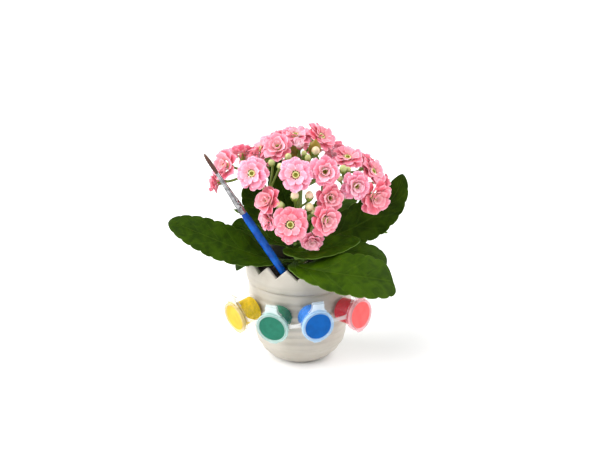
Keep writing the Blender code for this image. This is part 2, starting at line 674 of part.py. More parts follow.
def cup_seat(azimuth, height, axes):
    """Centre of the cup's flat back, moved out until its whole rim clears the pot's wall."""
    centre = azimuth_vector(azimuth) * pot_radius(height) + np.array([0.0, 0.0, height])
    back = circle(CUP_BACK_RADIUS, 0.0, 24) @ axes
    for _ in range(12):
        spots = np.vstack([centre + back, centre])
        need = [pot_radius(z) + GAP - np.hypot(x, y) for x, y, z in spots]
        centre = centre + axes[2] * max(need)
    return centre


def box(x, y, z):
    """A straight block between two values on each axis."""
    corners = [(x[0], y[0]), (x[1], y[0]), (x[1], y[1]), (x[0], y[1])]
    return loft([np.array([(*corner, level) for corner in corners]) for level in z])


def cup_turn(axes):
    """The rotation of the cup's own frame."""
    return Matrix(axes).transposed().to_quaternion()


def placed(solid, axes, centre):
    """A solid's points carried from the cup's own frame to their place."""
    points, faces = solid
    return [np.asarray(point) @ axes + centre for point in points], faces


def make_cups(cup_finish, paints, lids):
    """The strip of four cups, its lids on folded hinge straps, and the paint in each cup."""
    parts, seats = [], []
    face = CUP_LENGTH
    for name, azimuth, height, turn, droop in CUPS:
        axes = cup_axes(turn, droop)
        centre = cup_seat(azimuth, height, axes)
        seats.append((axes, centre))
        shell = turned([
            (CUP_BACK_RADIUS, 0.0), (CUP_FRONT_RADIUS, face - FLANGE_THICKNESS),
            (FLANGE_RADIUS, face - FLANGE_THICKNESS), (FLANGE_RADIUS, face),
            (CUP_BORE, face), (CUP_BORE, CUP_FLOOR),
        ], CUP_SIDES)
        parts.append(placed(loft(shell), axes, centre))
        strap = box((-STRAP_WIDTH / 2, STRAP_WIDTH / 2), (FLANGE_RADIUS - FLANGE_SINK, STRAP_TOP),
                    (face - FLANGE_THICKNESS + 0.1, face - FLANGE_THICKNESS + 0.1 + STRAP_THICKNESS))
        parts.append(placed(strap, axes, centre))
        make_lid(name, axes, centre, lids[name])
        level = face - PLUG_DEPTH - PAINT_BELOW_PLUG
        paint = loft(turned([(PAINT_RADIUS, CUP_FLOOR + GAP), (PAINT_RADIUS, level)], CUP_SIDES))
        put(add_object(f"paint_{name}", *paint, paints[name]), centre, cup_turn(axes))
    for (axes_a, centre_a), (axes_b, centre_b) in zip(seats, seats[1:]):
        parts.append(web(axes_a, centre_a, axes_b, centre_b))
    join("paint_strip", parts, cup_finish)


def web(axes_a, centre_a, axes_b, centre_b):
    """The flat bar between two neighbouring flanges, its flared ends sunk into them."""
    middle = CUP_LENGTH - FLANGE_THICKNESS / 2
    inset = FLANGE_RADIUS - 2 * FLANGE_SINK
    start = centre_a + np.array([inset, WEB_RAISE, middle]) @ axes_a
    end = centre_b + np.array([-inset, WEB_RAISE, middle]) @ axes_b
    reach = np.linalg.norm(end - start) * 0.35
    steps = np.linspace(0, 1, 6)
    path = bezier(start, start + axes_a[0] * reach, end - axes_b[0] * reach, end, steps)
    rings = []
    for step, centre in zip(steps, path):
        wide = WEB_WIDTH + WEB_FLARE * (2 * step - 1) ** 4
        up = unit((1 - step) * axes_a[1] + step * axes_b[1]) * wide / 2
        out = unit((1 - step) * axes_a[2] + step * axes_b[2]) * WEB_THICKNESS / 2
        rings.append(np.array([centre - up - out, centre + up - out, centre + up + out, centre - up + out]))
    return loft(rings)


def make_lid(name, axes, centre, finish):
    """A lid with a recessed face, a plug for the bore, a thumb tab and its half of the hinge strap.

    Its origin is on the hinge's axis, midway between the two halves of the strap.
    """
    hinge = np.array([0.0, HINGE_HEIGHT, CUP_LENGTH + GAP / 2])
    low = CUP_LENGTH + GAP
    high = low + LID_THICKNESS
    disc = loft(turned([
        (PLUG_RADIUS, low - PLUG_DEPTH), (PLUG_RADIUS, low), (LID_RADIUS, low), (LID_RADIUS, high),
        (LID_RECESS_RADIUS, high), (LID_RECESS_RADIUS - 0.4, high - LID_RECESS),
    ], CUP_SIDES))
    level = low + 0.1
    strap = box((-STRAP_WIDTH / 2, STRAP_WIDTH / 2), (LID_RADIUS - FLANGE_SINK, STRAP_TOP),
                (level, level + STRAP_THICKNESS))
    tab = box((-TAB_WIDTH / 2, TAB_WIDTH / 2), (-TAB_REACH, FLANGE_SINK - LID_RADIUS),
              (level, level + TAB_THICKNESS))
    parts = [placed(solid, np.identity(3), -hinge) for solid in (disc, strap, tab)]
    put(join(f"lid_{name}", parts, finish), centre + hinge @ axes, cup_turn(axes))


def main():
    """Clears the scene and builds the pot, the plant, the brush and the paint cups."""
    for old in list(bpy.data.objects):
        bpy.data.objects.remove(old, do_unlink=True)
    make_pot(material("pot_white", (0.83, 0.80, 0.74), 0.55))
    make_soil(material("soil", (0.05, 0.035, 0.025), 0.95))
    leaf_finish = material("leaf_green", (0.045, 0.11, 0.012), 0.4)
    for leaf in LEAVES:
        make_leaf(leaf, leaf_finish)
    make_stems(material("stem_green", (0.20, 0.30, 0.05), 0.5))
    make_blooms(material("petal_pink", (0.88, 0.33, 0.46), 0.5))
    make_brush(
        material("bristle_brown", (0.12, 0.04, 0.03), 0.7),
        material("ferrule_metal", (0.62, 0.62, 0.62), 0.25, 1.0),
        material("handle_blue", (0.0, 0.09, 0.60), 0.2),
    )
    colours = {
        "yellow": (0.86, 0.66, 0.03), "green": (0.03, 0.20, 0.13),
        "blue": (0.0, 0.13, 0.55), "red": (0.85, 0.10, 0.10),
    }
    paints = {name: material(f"paint_{name}", colour, 0.4) for name, colour in colours.items()}
    lids = {name: material(f"lid_{name}", colour, 0.3) for name, colour in colours.items()}
    make_cups(material("cup_plastic", (0.75, 0.76, 0.76), 0.3), paints, lids)


main()
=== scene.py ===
"""Looks of the potted kalanchoe, its strip of paint cups and its brush.

Lengths in this script are millimetres and angles are degrees; MM turns points into metres as they go
into a mesh. The axes are the frame's: +Z up, -Y towards the viewer, +X to the right. Azimuths start
at the front and grow to the right, so 90 is +X.
"""
import json
import math

import bmesh
import bpy
import numpy as np
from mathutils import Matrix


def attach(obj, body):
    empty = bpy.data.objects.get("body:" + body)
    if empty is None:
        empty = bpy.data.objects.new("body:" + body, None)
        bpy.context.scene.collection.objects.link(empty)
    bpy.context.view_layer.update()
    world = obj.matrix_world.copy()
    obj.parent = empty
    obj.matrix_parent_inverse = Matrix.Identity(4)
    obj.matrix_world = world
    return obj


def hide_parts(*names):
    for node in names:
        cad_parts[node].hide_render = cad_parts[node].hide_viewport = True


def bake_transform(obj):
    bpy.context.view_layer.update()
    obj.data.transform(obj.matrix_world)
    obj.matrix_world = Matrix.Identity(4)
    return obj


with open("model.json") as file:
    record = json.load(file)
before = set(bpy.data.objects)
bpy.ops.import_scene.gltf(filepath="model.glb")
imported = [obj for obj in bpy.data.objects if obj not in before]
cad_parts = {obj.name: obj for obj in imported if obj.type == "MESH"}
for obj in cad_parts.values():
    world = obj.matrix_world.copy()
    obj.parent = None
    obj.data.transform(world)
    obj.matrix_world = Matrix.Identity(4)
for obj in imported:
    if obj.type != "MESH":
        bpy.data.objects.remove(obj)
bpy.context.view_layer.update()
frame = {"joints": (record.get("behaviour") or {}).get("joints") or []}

MM = 0.001

# Pot: outside and inside profiles as radius and height, and the zig-zag rim
TEETH = 16
TOOTH_COLUMNS = 24
VALLEY_AZIMUTH = -3.2
VALLEY_HEIGHT = 65.2
TIP_HEIGHT = 71.8
RIM_RADIUS_OUTER = 36.0
RIM_RADIUS_INNER = 33.2
RIM_ROUNDING = 0.9
THROWING_RIPPLE = 0.26
THROWING_PITCH = 5.4
POT_OUTSIDE = [
    (16.5, 0.0), (21.8, 3.0), (25.4, 7.0), (28.8, 12.6), (28.7, 13.1), (29.5, 13.9), (30.4, 21.5),
    (30.3, 22.0), (31.1, 22.9), (32.6, 31.0), (33.8, 40.0), (34.4, 49.0), (34.2, 53.0), (33.5, 53.9),
    (33.6, 54.3), (35.3, 55.2), (35.9, 58.0), (36.0, 61.0),
]
POT_INSIDE = [(32.8, 61.0), (31.2, 50.0), (28.6, 27.0), (23.0, 9.5), (13.0, 4.0)]

# Soil: a low mound with crumbs on it
SOIL_RADIUS = 31.7
SOIL_MOUND = [(0.0, 58.6), (11.0, 58.4), (23.0, 57.6), (31.7, 56.5)]
CRUMBS = 520

# Plant: the main stem
STEM_X = -1.0
STEM_Y = -4.0
STEM_PROFILE = [(3.1, 56.0), (3.1, 66.0), (2.9, 80.0), (2.3, 92.0)]

# Leaves: name, azimuth and height of the petiole, the points that the midrib passes at a third and
# two thirds of its length, the tip, the width, the way that the blade's face looks at the tip, the
# fold along the midrib, where it is widest, the lobes a side and how light its green is; this
# lightness is painted light and shade, higher on leaves in the light and lower on shaded ones
LEAVES = [
    ("leaf_left_long", -85, 67, (-29, -20.6, 77.2), (-58, -20.5, 89.2), (-84.3, -14, 97.2),
     26, (-0.05, -0.72, 0.69), 0.12, 0.46, 11, 0.35),
    ("leaf_front_right", 5, 67.5, (4, -39, 75), (33, -48, 73.8), (58, -41.5, 67),
     31.5, (0.15, -0.62, 0.78), 0.08, 0.65, 10, 0.6),
    ("leaf_right_long", 100, 74, (26, 7, 81.6), (53, 15, 95.0), (67, 20, 119),
     29, (-0.5, -0.82, 0.25), 0.10, 0.42, 10, 0.2),
    ("leaf_right_edge_on", 10, 78, (-1, -26, 81), (17, -30.5, 85.4), (37.5, -28, 90.5),
     21.5, (0.05, -0.35, 0.94), 0.2, 0.42, 7, 0.5),
    ("leaf_right_low", 66, 63, (18, -11.2, 71.5), (37.5, -13.5, 76.0), (56, -10.5, 68.2),
     17.5, (0.1, -0.45, 0.88), 0.12, 0.60, 8, 0.4),
    ("leaf_left_back", -112, 73, (-18, 5, 78.5), (-33, 11, 82), (-45, 14, 86.5),
     16.5, (0.1, -0.75, 0.6), 0.15, 0.60, 7, 0.2),
    ("leaf_left_upright", -140, 80, (-17, 5, 89), (-27, 10, 101), (-36, 12, 114),
     23, (0.35, -0.85, 0.3), 0.15, 0.55, 8, 0.2),
    ("leaf_left_low", -65, 61, (-18, -8.5, 68.4), (-31.5, -17.5, 73.9), (-41.5, -18, 66.5),
     12, (-0.3, -0.5, 0.8), 0.12, 0.60, 5, 0.4),
    ("leaf_front_small", -35, 82, (-9, -12, 86), (-16, -15, 92.5), (-22, -16, 100),
     13, (0.0, -0.9, 0.45), 0.2, 0.60, 4, 0.5),
    ("leaf_back_left", -160, 76.5, (-13, 20, 79.5), (-28, 43, 84), (-38, 66, 78),
     30, (-0.2, 0.3, 0.93), 0.12, 0.60, 9, 0.4),
    ("leaf_back_right", 160, 71, (8, 23, 79.5), (23, 46, 88), (36, 67, 91),
     28, (0.2, 0.3, 0.93), 0.12, 0.60, 9, 0.3),
    ("leaf_middle_upright", -170, 84, (-7.4, 9.5, 97), (-12.6, 12, 113), (-15.5, 16, 130),
     17.5, (0.1, -0.95, 0.2), 0.15, 0.55, 8, 0.0),
    ("leaf_back_low", 130, 66, (18, 13.5, 72.5), (36, 24, 77), (58, 36, 72),
     24, (0.2, 0.2, 0.95), 0.12, 0.60, 8, 0.3),
]
LEAF_ROWS = 132
LEAF_HALF_COLUMNS = 14
PETIOLE_HALF_WIDTH = 1.7
PETIOLE_THICKNESS = 2.6
LEAF_THICKNESS = 1.7
LEAF_EDGE_THICKNESS = 0.8
BLADE_START = 0.12
OVAL_POWER = 1.05
LOBE_DEPTH = 0.09

# Share of a leaf's length where its blade has turned to the way that its tip faces
TWIST_END = 0.65

# Flower heads: the hubs of the branching stem, each with the hub that it grows from
HUBS = {
    "top": ("stem", (-1, -6, 118)),
    "left": ("stem", (-20, -12, 116)),
    "left_back": ("left", (-30, 2, 124)),
    "front": ("stem", (-3, -18, 106)),
    "right": ("stem", (14, -14, 108)),
    "right_far": ("right", (30, -6, 112)),
    "crown": ("top", (0, -2, 134)),
    "back": ("stem", (0, 14, 112)),
    "back_left": ("back", (-14, 24, 120)),
    "back_right": ("back", (16, 22, 118)),
}

# Blooms: name, hub, centre, azimuth and elevation that it faces, kind, radius, and how coral it is
BLOOMS = [
    ("bloom_01", "left", (-30.0, -30.0, 134.5), -15, 25, "open", 10.2, 0.25),
    ("bloom_02", "front", (-3.0, -38.0, 136.0), -3, 25, "open", 10.4, 0.2),
    ("bloom_03", "right", (14.8, -33.0, 136.5), 10, 20, "half", 9.4, 0.4),
    ("bloom_04", "front", (-6.3, -43.6, 105.8), 0, 12, "open", 11.4, 0.85),
    ("bloom_05", "right", (15.4, -37.0, 106.4), 30, 5, "half", 9.8, 0.75),
    ("bloom_06", "left", (-20.0, -34.0, 118.0), -45, 30, "half", 8.8, 0.9),
    ("bloom_07", "left", (-20.6, -33.5, 105.8), -60, 0, "half", 7.2, 0.6),
    ("bloom_08", "right", (18.0, -30.3, 118.8), 20, 8, "half", 8.8, 0.8),
    ("bloom_09", "right_far", (34.8, -24.0, 124.6), 15, 5, "half", 9.1, 0.15),
    ("bloom_10", "right_far", (46.8, -15.5, 114.4), 34, -5, "half", 10.9, 0.9),
    ("bloom_11", "right_far", (47.0, 2.0, 126.2), 62, 34, "open", 10.2, 0.7),
    ("bloom_12", "right_far", (30.0, -2.0, 137.0), 30, 70, "open", 10.6, 0.7),
    ("bloom_13", "crown", (-14.2, -14.0, 146.8), -15, 38, "half", 9.4, 0.6),
    ("bloom_14", "left_back", (-26.0, 1.0, 141.6), -80, 40, "open", 10.0, 0.8),
    ("bloom_15", "crown", (-3.2, 0.0, 151.2), 0, 76, "open", 9.8, 0.6),
    ("bloom_16", "crown", (13.6, 3.0, 149.4), 66, 45, "open", 11.0, 0.8),
    ("bloom_17", "left_back", (-47.0, -12.0, 134.4), -52, 24, "half", 10.6, 0.7),
    ("bloom_18", "left_back", (-38.0, 9.0, 136.6), 200, 60, "half", 9.4, 0.5),
    ("bloom_19", "left_back", (-54.0, -6.0, 121.8), -90, 0, "half", 7.6, 0.7),
    ("bloom_20", "right", (7.2, -36.0, 92.5), 5, -25, "half", 7.4, 0.45),
    ("bloom_21", "right_far", (55.0, 9.0, 115.6), 90, -5, "half", 6.2, 0.7),
    ("bloom_22", "crown", (-0.8, -15.4, 148.6), 0, 45, "tight", 6.4, 0.2),
    ("bloom_23", "back", (-12.5, 19.5, 143.6), 190, 65, "open", 10.0, 0.5),
    ("bloom_24", "back_right", (9.5, 22.0, 145.5), 165, 60, "open", 10.4, 0.7),
    ("bloom_25", "back_right", (28.0, 20.0, 131.5), 130, 50, "open", 10.0, 0.4),
    ("bloom_26", "back_left", (-32.0, 25.5, 130.5), 225, 45, "open", 10.4, 0.6),
    ("bloom_27", "back_left", (-14.0, 36.0, 138.0), 200, 40, "open", 10.4, 0.3),
    ("bloom_28", "back_right", (8.0, 40.0, 134.0), 175, 35, "half", 10.0, 0.7),
    ("bloom_29", "back_right", (26.0, 36.0, 128.0), 150, 30, "open", 10.6, 0.5),
    ("bloom_30", "back_left", (-2.0, 45.0, 116.0), 180, 10, "open", 10.4, 0.8),
    ("bloom_31", "back_left", (-26.0, 40.0, 120.0), 210, 15, "open", 10.4, 0.4),
    ("bloom_32", "back_right", (44.0, 24.0, 124.0), 120, 25, "open", 10.2, 0.6),
]
BLOOM_BASE = 4.6
PETAL_ROWS = 8
PETAL_COLUMNS = 9
PETAL_HALF_THICKNESS = 0.17
PETAL_TWIST = 11.0

# Whorls of each kind of bloom at radius 10: petals, length, half spread, slope at the root and at the
# tip, radius and height of the root, how much the petal cups, and how creamy it is
WHORLS = {
    "open": [
        (8, 8.7, 41, 8, -12, 1.9, 3.2, 0.3, 0.0), (7, 7.7, 44, 26, 2, 1.8, 3.7, 0.5, 0.1),
        (6, 5.9, 48, 44, 14, 1.6, 4.1, 0.7, 0.3),
    ],
    "half": [
        (7, 8.9, 43, 24, -2, 1.9, 3.0, 0.4, 0.0), (6, 8.4, 48, 44, 20, 1.9, 3.5, 0.6, 0.15),
        (4, 7.2, 54, 60, 44, 1.8, 3.9, 0.9, 0.55), (3, 5.4, 50, 74, 72, 1.2, 4.1, 1.1, 0.85),
    ],
    "tight": [
        (6, 8.2, 48, 58, 84, 1.8, 3.0, 1.1, 0.9), (5, 7.6, 52, 72, 98, 1.4, 3.4, 1.5, 1.0),
        (4, 6.4, 56, 84, 108, 0.9, 3.7, 1.8, 1.0),
    ],
}

# Buds: hub, centre, azimuth and elevation that it points to, radius, and how ripe it is
BUDS = [
    ("front", (-3.6, -36.0, 122.0), 0, 65, 2.9, 0.8),
    ("front", (5.4, -34.0, 121.5), 15, 70, 2.9, 0.9),
    ("front", (5.4, -37.0, 115.0), 20, 40, 2.9, 0.5),
    ("left", (-12.6, -38.0, 116.6), -30, 30, 2.8, 0.15),
    ("crown", (9.4, -15.0, 144.5), 10, 60, 3.0, 0.7),
    ("crown", (4.5, -18.0, 141.0), 5, 60, 2.3, 0.1),
    ("right_far", (26.5, -22.0, 135.0), 10, 60, 2.6, 0.1),
    ("right", (8.0, -36.0, 112.0), 20, 10, 2.4, 0.3),
    ("left_back", (-20.0, 14.0, 139.0), 200, 70, 2.6, 0.4),
    ("back", (-3.0, 30.5, 138.5), 180, 60, 2.8, 0.7),
    ("left", (-18.0, -24.0, 139.6), -20, 50, 2.3, 0.1),
    ("left", (-12.6, -26.5, 138.2), 10, 40, 2.2, 0.3),
    ("crown", (-7.6, -22.0, 143.0), 0, 50, 2.3, 0.2),
    ("right_far", (24.6, -22.0, 128.6), 0, 30, 2.2, 0.2),
    ("right_far", (29.6, -19.0, 133.4), 20, 50, 2.2, 0.1),
    ("crown", (2.2, -16.5, 143.5), -10, 55, 1.9, 0.1),
]

# Empty calyces under the flower heads: hub, base, tip, width, thickness
BRACTS = [
    ("crown", (-4.4, -7.0, 138.6), (-5.6, -7.0, 148.4), 7.0, 3.2),
    ("crown", (8.2, -9.6, 139.6), (9.6, -10.4, 151.4), 8.0, 3.4),
]

# Brush: bristle tip and lower end of the handle, and lengths and radii from that end up
BRUSH_TIP = np.array([-58.8, -33.2, 147.9])
BRUSH_END = np.array([3.4, -24.3, 43.5])
BRISTLE_LENGTH = 14.6
FERRULE_LENGTH = 31.0
HAIRS = 170

# Paint cups: sizes in the cup's own frame, whose z axis points out of the cup
CUP_SIDES = 72
CUP_LENGTH = 15.0
CUP_BACK_RADIUS = 8.3
CUP_FRONT_RADIUS = 8.9
CUP_BORE = 8.1
CUP_FLOOR = 0.9
FLANGE_RADIUS = 10.3
FLANGE_THICKNESS = 1.8
LID_GAP = 0.3
LID_RADIUS = 10.6
LID_THICKNESS = 1.8
PLUG_RADIUS = 7.7
PLUG_DEPTH = 1.5
LID_RECESS_RADIUS = 8.8
LID_RECESS = 0.5
PAINT_RADIUS = 7.8
STRAP_WIDTH = 7.6
STRAP_TOP = 15.0
STRAP_THICKNESS = 0.7
HINGE_HEIGHT = 15.3
TAB_WIDTH = 5.4
TAB_REACH = 11.6
TAB_THICKNESS = 0.8
WEB_WIDTH = 2.6
WEB_FLARE = 3.2
WEB_THICKNESS = 1.0
WEB_RAISE = 1.4

# Each cup: azimuth and droop of its axis, and the colours of its paint, its lid's face and its plastic
CUPS = {
    "yellow": (-52.0, 12.0, (0.94, 0.64, 0.012), (0.66, 0.44, 0.032), (0.74, 0.58, 0.22)),
    "green": (-20.0, 9.6, (0.001, 0.170, 0.075), (0.020, 0.165, 0.105), (0.42, 0.62, 0.58)),
    "blue": (21.0, 4.0, (0.0005, 0.160, 0.62), (0.000, 0.098, 0.39), (0.40, 0.62, 0.86)),
    "red": (46.0, -3.0, (0.56, 0.002, 0.014), (0.96, 0.125, 0.125), (0.86, 0.38, 0.42)),
}

# Camera: distance, height of the point that it looks at, elevation, and focal length in pixels
IMAGE_WIDTH = 600
CAMERA_DISTANCE = 800.0
CAMERA_TARGET = 90.3
CAMERA_ELEVATION = 19.4
CAMERA_FOCAL_PIXELS = 1231.0
CAMERA_SIDESTEP = -0.35
SENSOR_WIDTH = 36.0

# Light: white surround, and two wide suns, each with strength, angle, azimuth and elevation
WORLD_STRENGTH = 0.36
SUNS = {"key": (4.6, 70.0, -76.0, 40.0), "second": (2.5, 70.0, 86.0, 40.0)}


class Signal:
    """A shader socket that takes part in expressions: each operator adds a Math node."""

    def __init__(self, finish, socket):
        self.finish = finish
        self.socket = socket

    def maths(self, operation, *values):
        """A Math node on this signal, or on the values alone where an operator gives them."""
        return self.finish.node("ShaderNodeMath", {"operation": operation}, dict(enumerate(values or [self])))

    def __add__(self, other):
        return self.maths("ADD", self, other)

    def __radd__(self, other):
        return self.maths("ADD", other, self)

    def __sub__(self, other):
        return self.maths("SUBTRACT", self, other)

    def __rsub__(self, other):
        return self.maths("SUBTRACT", other, self)

    def __mul__(self, other):
        return self.maths("MULTIPLY", self, other)

    def __rmul__(self, other):
        return self.maths("MULTIPLY", other, self)

    def __pow__(self, other):
        return self.maths("POWER", self, other)

    def absolute(self):
        return self.maths("ABSOLUTE")

    def clipped(self, low, high):
        """0 below low, 1 above high, and a smooth step between."""
        return self.finish.node(
            "ShaderNodeMapRange", {"interpolation_type": "SMOOTHSTEP"},
            {"Value": self, "From Min": low, "From Max": high})


class Finish:
    """One material: node() adds its nodes and surface() sets its Principled shader."""

    def __init__(self, name):
        self.material = bpy.data.materials.new(name)
        self.material.use_nodes = True
        self.tree = self.material.node_tree
        self.shader = self.tree.nodes["Principled BSDF"]
        self.place = None

    def feed(self, socket, value):
        """Links a signal to a socket, or sets a plain number, vector or colour on it."""
        if isinstance(value, Signal):
            self.tree.links.new(value.socket, socket)
        elif socket.type == "RGBA":
            socket.default_value = (*value, 1.0)
        else:
            socket.default_value = value

    def node(self, kind, settings=None, sockets=None, output=0):
        """A node of a kind, with its settings first and then its sockets; gives one output."""
        made = self.tree.nodes.new(kind)
        for key, value in (settings or {}).items():
            setattr(made, key, value)
        for key, value in (sockets or {}).items():
            self.feed(made.inputs[key], value)
        return Signal(self, made.outputs[output])

    def where(self, stretch=(1.0, 1.0, 1.0)):
        """Object coordinates in millimetres, stretched along each axis."""
        if self.place is None:
            self.place = self.node("ShaderNodeTexCoord", output="Object")
        scale = tuple(value / MM for value in stretch)
        return self.node("ShaderNodeVectorMath", {"operation": "MULTIPLY"}, {0: self.place, 1: scale})

    def noise(self, size, detail=3.0, stretch=(1.0, 1.0, 1.0), distortion=0.0):
        """Noise whose features are about size millimetres, from 0 to 1."""
        return self.node("ShaderNodeTexNoise", None, {
            "Vector": self.where(stretch), "Scale": 1.0 / size, "Detail": detail, "Distortion": distortion})

    def value(self, name):
        """A point value of the piece."""
        return self.node("ShaderNodeAttribute", {"attribute_name": name}, output="Fac")

    def colour(self, name):
        """A point colour of the piece."""
        return self.node("ShaderNodeAttribute", {"attribute_name": name}, output="Color")

    def mix(self, factor, first, second):
        """The first colour at factor 0 and the second at 1."""
        return self.node("ShaderNodeMix", {"data_type": "RGBA"}, {0: factor, 6: first, 7: second}, 2)

    def bump(self, height, depth, strength=1.0):
        """A normal from a height of 0 to 1, which stands for depth millimetres."""
        return self.node("ShaderNodeBump", None, {"Height": height, "Distance": depth * MM, "Strength": strength})

    def surface(self, **sockets):
        """Sets sockets of the Principled shader, named with _ for a space."""
        for key, value in sockets.items():
            self.feed(self.shader.inputs[key.replace("_", " ")], value)
        return self.material


class Skin:
    """The surfaces of one piece: points, faces with the number of their finish, and point values."""

    def __init__(self):
        self.points = []
        self.faces = []
        self.finishes = []
        self.values = {}
        self.total = 0

    def add(self, points, *faces, finish=0, **values):
        points = np.asarray(points, float).reshape(-1, 3)
        for array in faces:
            self.faces += (array + self.total).tolist()
            self.finishes += [finish] * len(array)
        for name, value in values.items():
            value = np.asarray(value, float)
            self.values.setdefault(name, []).append((self.total, len(points), value))
        self.points.append(points)
        self.total += len(points)

    def cover(self, faces, finish):
        """Adds faces between points that are there already."""
        self.faces += faces.tolist()
        self.finishes += [finish] * len(faces)


def make(name, skin, finishes, body="root", replaced=(), sharp=50.0):
    """The object of a skin, with its finishes, body and the CAD nodes that it stands for."""
    mesh = bpy.data.meshes.new(name)
    mesh.from_pydata((np.concatenate(skin.points) * MM).tolist(), [], skin.faces)
    mesh.polygons.foreach_set("material_index", skin.finishes)
    for key, chunks in skin.values.items():
        column = np.zeros(skin.total, np.float32)
        for first, count, value in chunks:
            column[first:first + count] = value
        mesh.attributes.new(key, "FLOAT", "POINT").data.foreach_set("value", column)
    return finished(name, mesh, finishes, body, replaced, sharp)


def finished(name, mesh, finishes, body, replaced, sharp):
    """Turns a mesh's faces outwards, smooths it and makes it a piece that rides on a body."""
    work = bmesh.new()
    work.from_mesh(mesh)
    bmesh.ops.recalc_face_normals(work, faces=work.faces)
    work.to_mesh(mesh)
    work.free()
    mesh.shade_smooth()
    mesh.set_sharp_from_angle(angle=math.radians(sharp))
    finish_numbers = np.empty(len(mesh.polygons), np.int32)
    mesh.polygons.foreach_get("material_index", finish_numbers)
    mesh.materials.clear()
    for finish in finishes:
        mesh.materials.append(finish)
    mesh.polygons.foreach_set("material_index", finish_numbers)
    piece = bpy.data.objects.new(name, mesh)
    bpy.context.scene.collection.objects.link(piece)
    if body:
        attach(piece, body)
    if replaced:
        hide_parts(*replaced)
    return piece


def unit(vector):
    """The vector, or each row of an array of vectors, at length 1."""
    vector = np.asarray(vector, float)
    return vector / np.linalg.norm(vector, axis=-1, keepdims=True)


def azimuth_vector(azimuth, elevation=0.0):
    """The unit vector at an azimuth from the front, raised by an elevation."""
    turn, rise = math.radians(azimuth), math.radians(elevation)
    return np.array([
        math.sin(turn) * math.cos(rise),
        -math.cos(turn) * math.cos(rise),
        math.sin(rise),
    ])


def smooth(value, low, high):
    """0 below low, 1 above high, and 3 t^2 - 2 t^3 between."""
    t = np.clip((np.asarray(value, float) - low) / (high - low), 0, 1)
    return t * t * (3 - 2 * t)


def bezier(start, bend_a, bend_b, end, t):
    """Points at the parameters t of a cubic curve."""
    t = np.asarray(t, float)[:, None]
    start, bend_a, bend_b, end = (np.asarray(p, float) for p in (start, bend_a, bend_b, end))
    u = 1 - t
    return u**3 * start + 3 * u**2 * t * bend_a + 3 * u * t**2 * bend_b + t**3 * end


def through(start, third, two_thirds, end):
    """The four points of a cubic curve that passes two points at a third and two thirds of its way."""
    start, third, two_thirds, end = (np.asarray(p, float) for p in (start, third, two_thirds, end))
    bend_a = (-5 * start + 18 * third - 9 * two_thirds + 2 * end) / 6
    bend_b = (2 * start - 9 * third + 18 * two_thirds - 5 * end) / 6
    return start, bend_a, bend_b, end


def quads(rows, columns, closed=False):
    """Faces of a grid of points in rows; closed joins the last column to the first."""
    index = np.arange(rows * columns).reshape(rows, columns)
    if closed:
        index = np.concatenate([index, index[:, :1]], axis=1)
    return np.stack([index[:-1, :-1], index[:-1, 1:], index[1:, 1:], index[1:, :-1]], axis=-1).reshape(-1, 4)


def capped(rings):
    """Points and faces of rows of rings, each closed round, with a centre point over each end."""
    rows, columns = rings.shape[:2]
    ends = np.stack([rings[0].mean(axis=0), rings[-1].mean(axis=0)])
    near = np.arange(columns)
    beside = np.roll(near, -1)
    last = (rows - 1) * columns
    first_cap = np.stack([beside, near, np.full(columns, rows * columns)], axis=1)
    last_cap = np.stack([near + last, beside + last, np.full(columns, rows * columns + 1)], axis=1)
    points = np.concatenate([rings.reshape(-1, 3), ends])
    return points, quads(rows, columns, True), np.concatenate([first_cap, last_cap])


def with_ends(grid):
    """Values on rows of rings, followed by the values of the two centre points of capped()."""
    grid = np.asarray(grid, float)
    return np.concatenate([grid.ravel(), [grid[0].mean(), grid[-1].mean()]])


def turned(profile, sides, start=0.0):
    """Rings of a turned shape from rows of radius and height."""
    profile = np.asarray(profile, float)
    turn = np.radians(start) + np.arange(sides) * 2 * np.pi / sides
    radius, height = profile[:, :1], profile[:, 1:]
    return np.stack([radius * np.sin(turn), -radius * np.cos(turn), height + 0 * turn], axis=-1)


def rounded(profile, radius, step=0.25):
    """A profile drawn finely, each corner rounded: every point is the mean of a window that wide."""
    profile = np.asarray(profile, float)
    way = np.concatenate([[0], np.cumsum(np.linalg.norm(np.diff(profile, axis=0), axis=1))])
    count = max(int(way[-1] / step), len(profile))
    fine = np.linspace(0, way[-1], count)
    window = np.linspace(-radius, radius, 9)
    reach = np.minimum(np.minimum(fine, way[-1] - fine), radius)[:, None] / radius
    spots = fine[:, None] + window * reach
    return np.stack([np.interp(spots, way, profile[:, axis]).mean(axis=1) for axis in (0, 1)], axis=1)


def tube(path, radii, sides, squash=1.0):
    """Rings round a path. Each ring's first axis is one steady vector with the path's direction taken
    out of it, and its second axis is shortened by squash."""
    path = np.asarray(path, float)
    radii = np.broadcast_to(np.asarray(radii, float), len(path))[:, None, None]
    along = unit(np.gradient(path, axis=0))
    chord = unit(path[-1] - path[0])
    steady = np.cross(chord, (0.0, 0.0, 1.0) if abs(chord[2]) < 0.9 else (0.0, 1.0, 0.0))
    side = unit(steady - along * (along @ steady)[:, None])
    across = np.cross(along, side) * squash
    turn = np.arange(sides) * 2 * np.pi / sides
    ring = np.cos(turn)[:, None] * side[:, None] + np.sin(turn)[:, None] * across[:, None]
    return path[:, None] + radii * ring


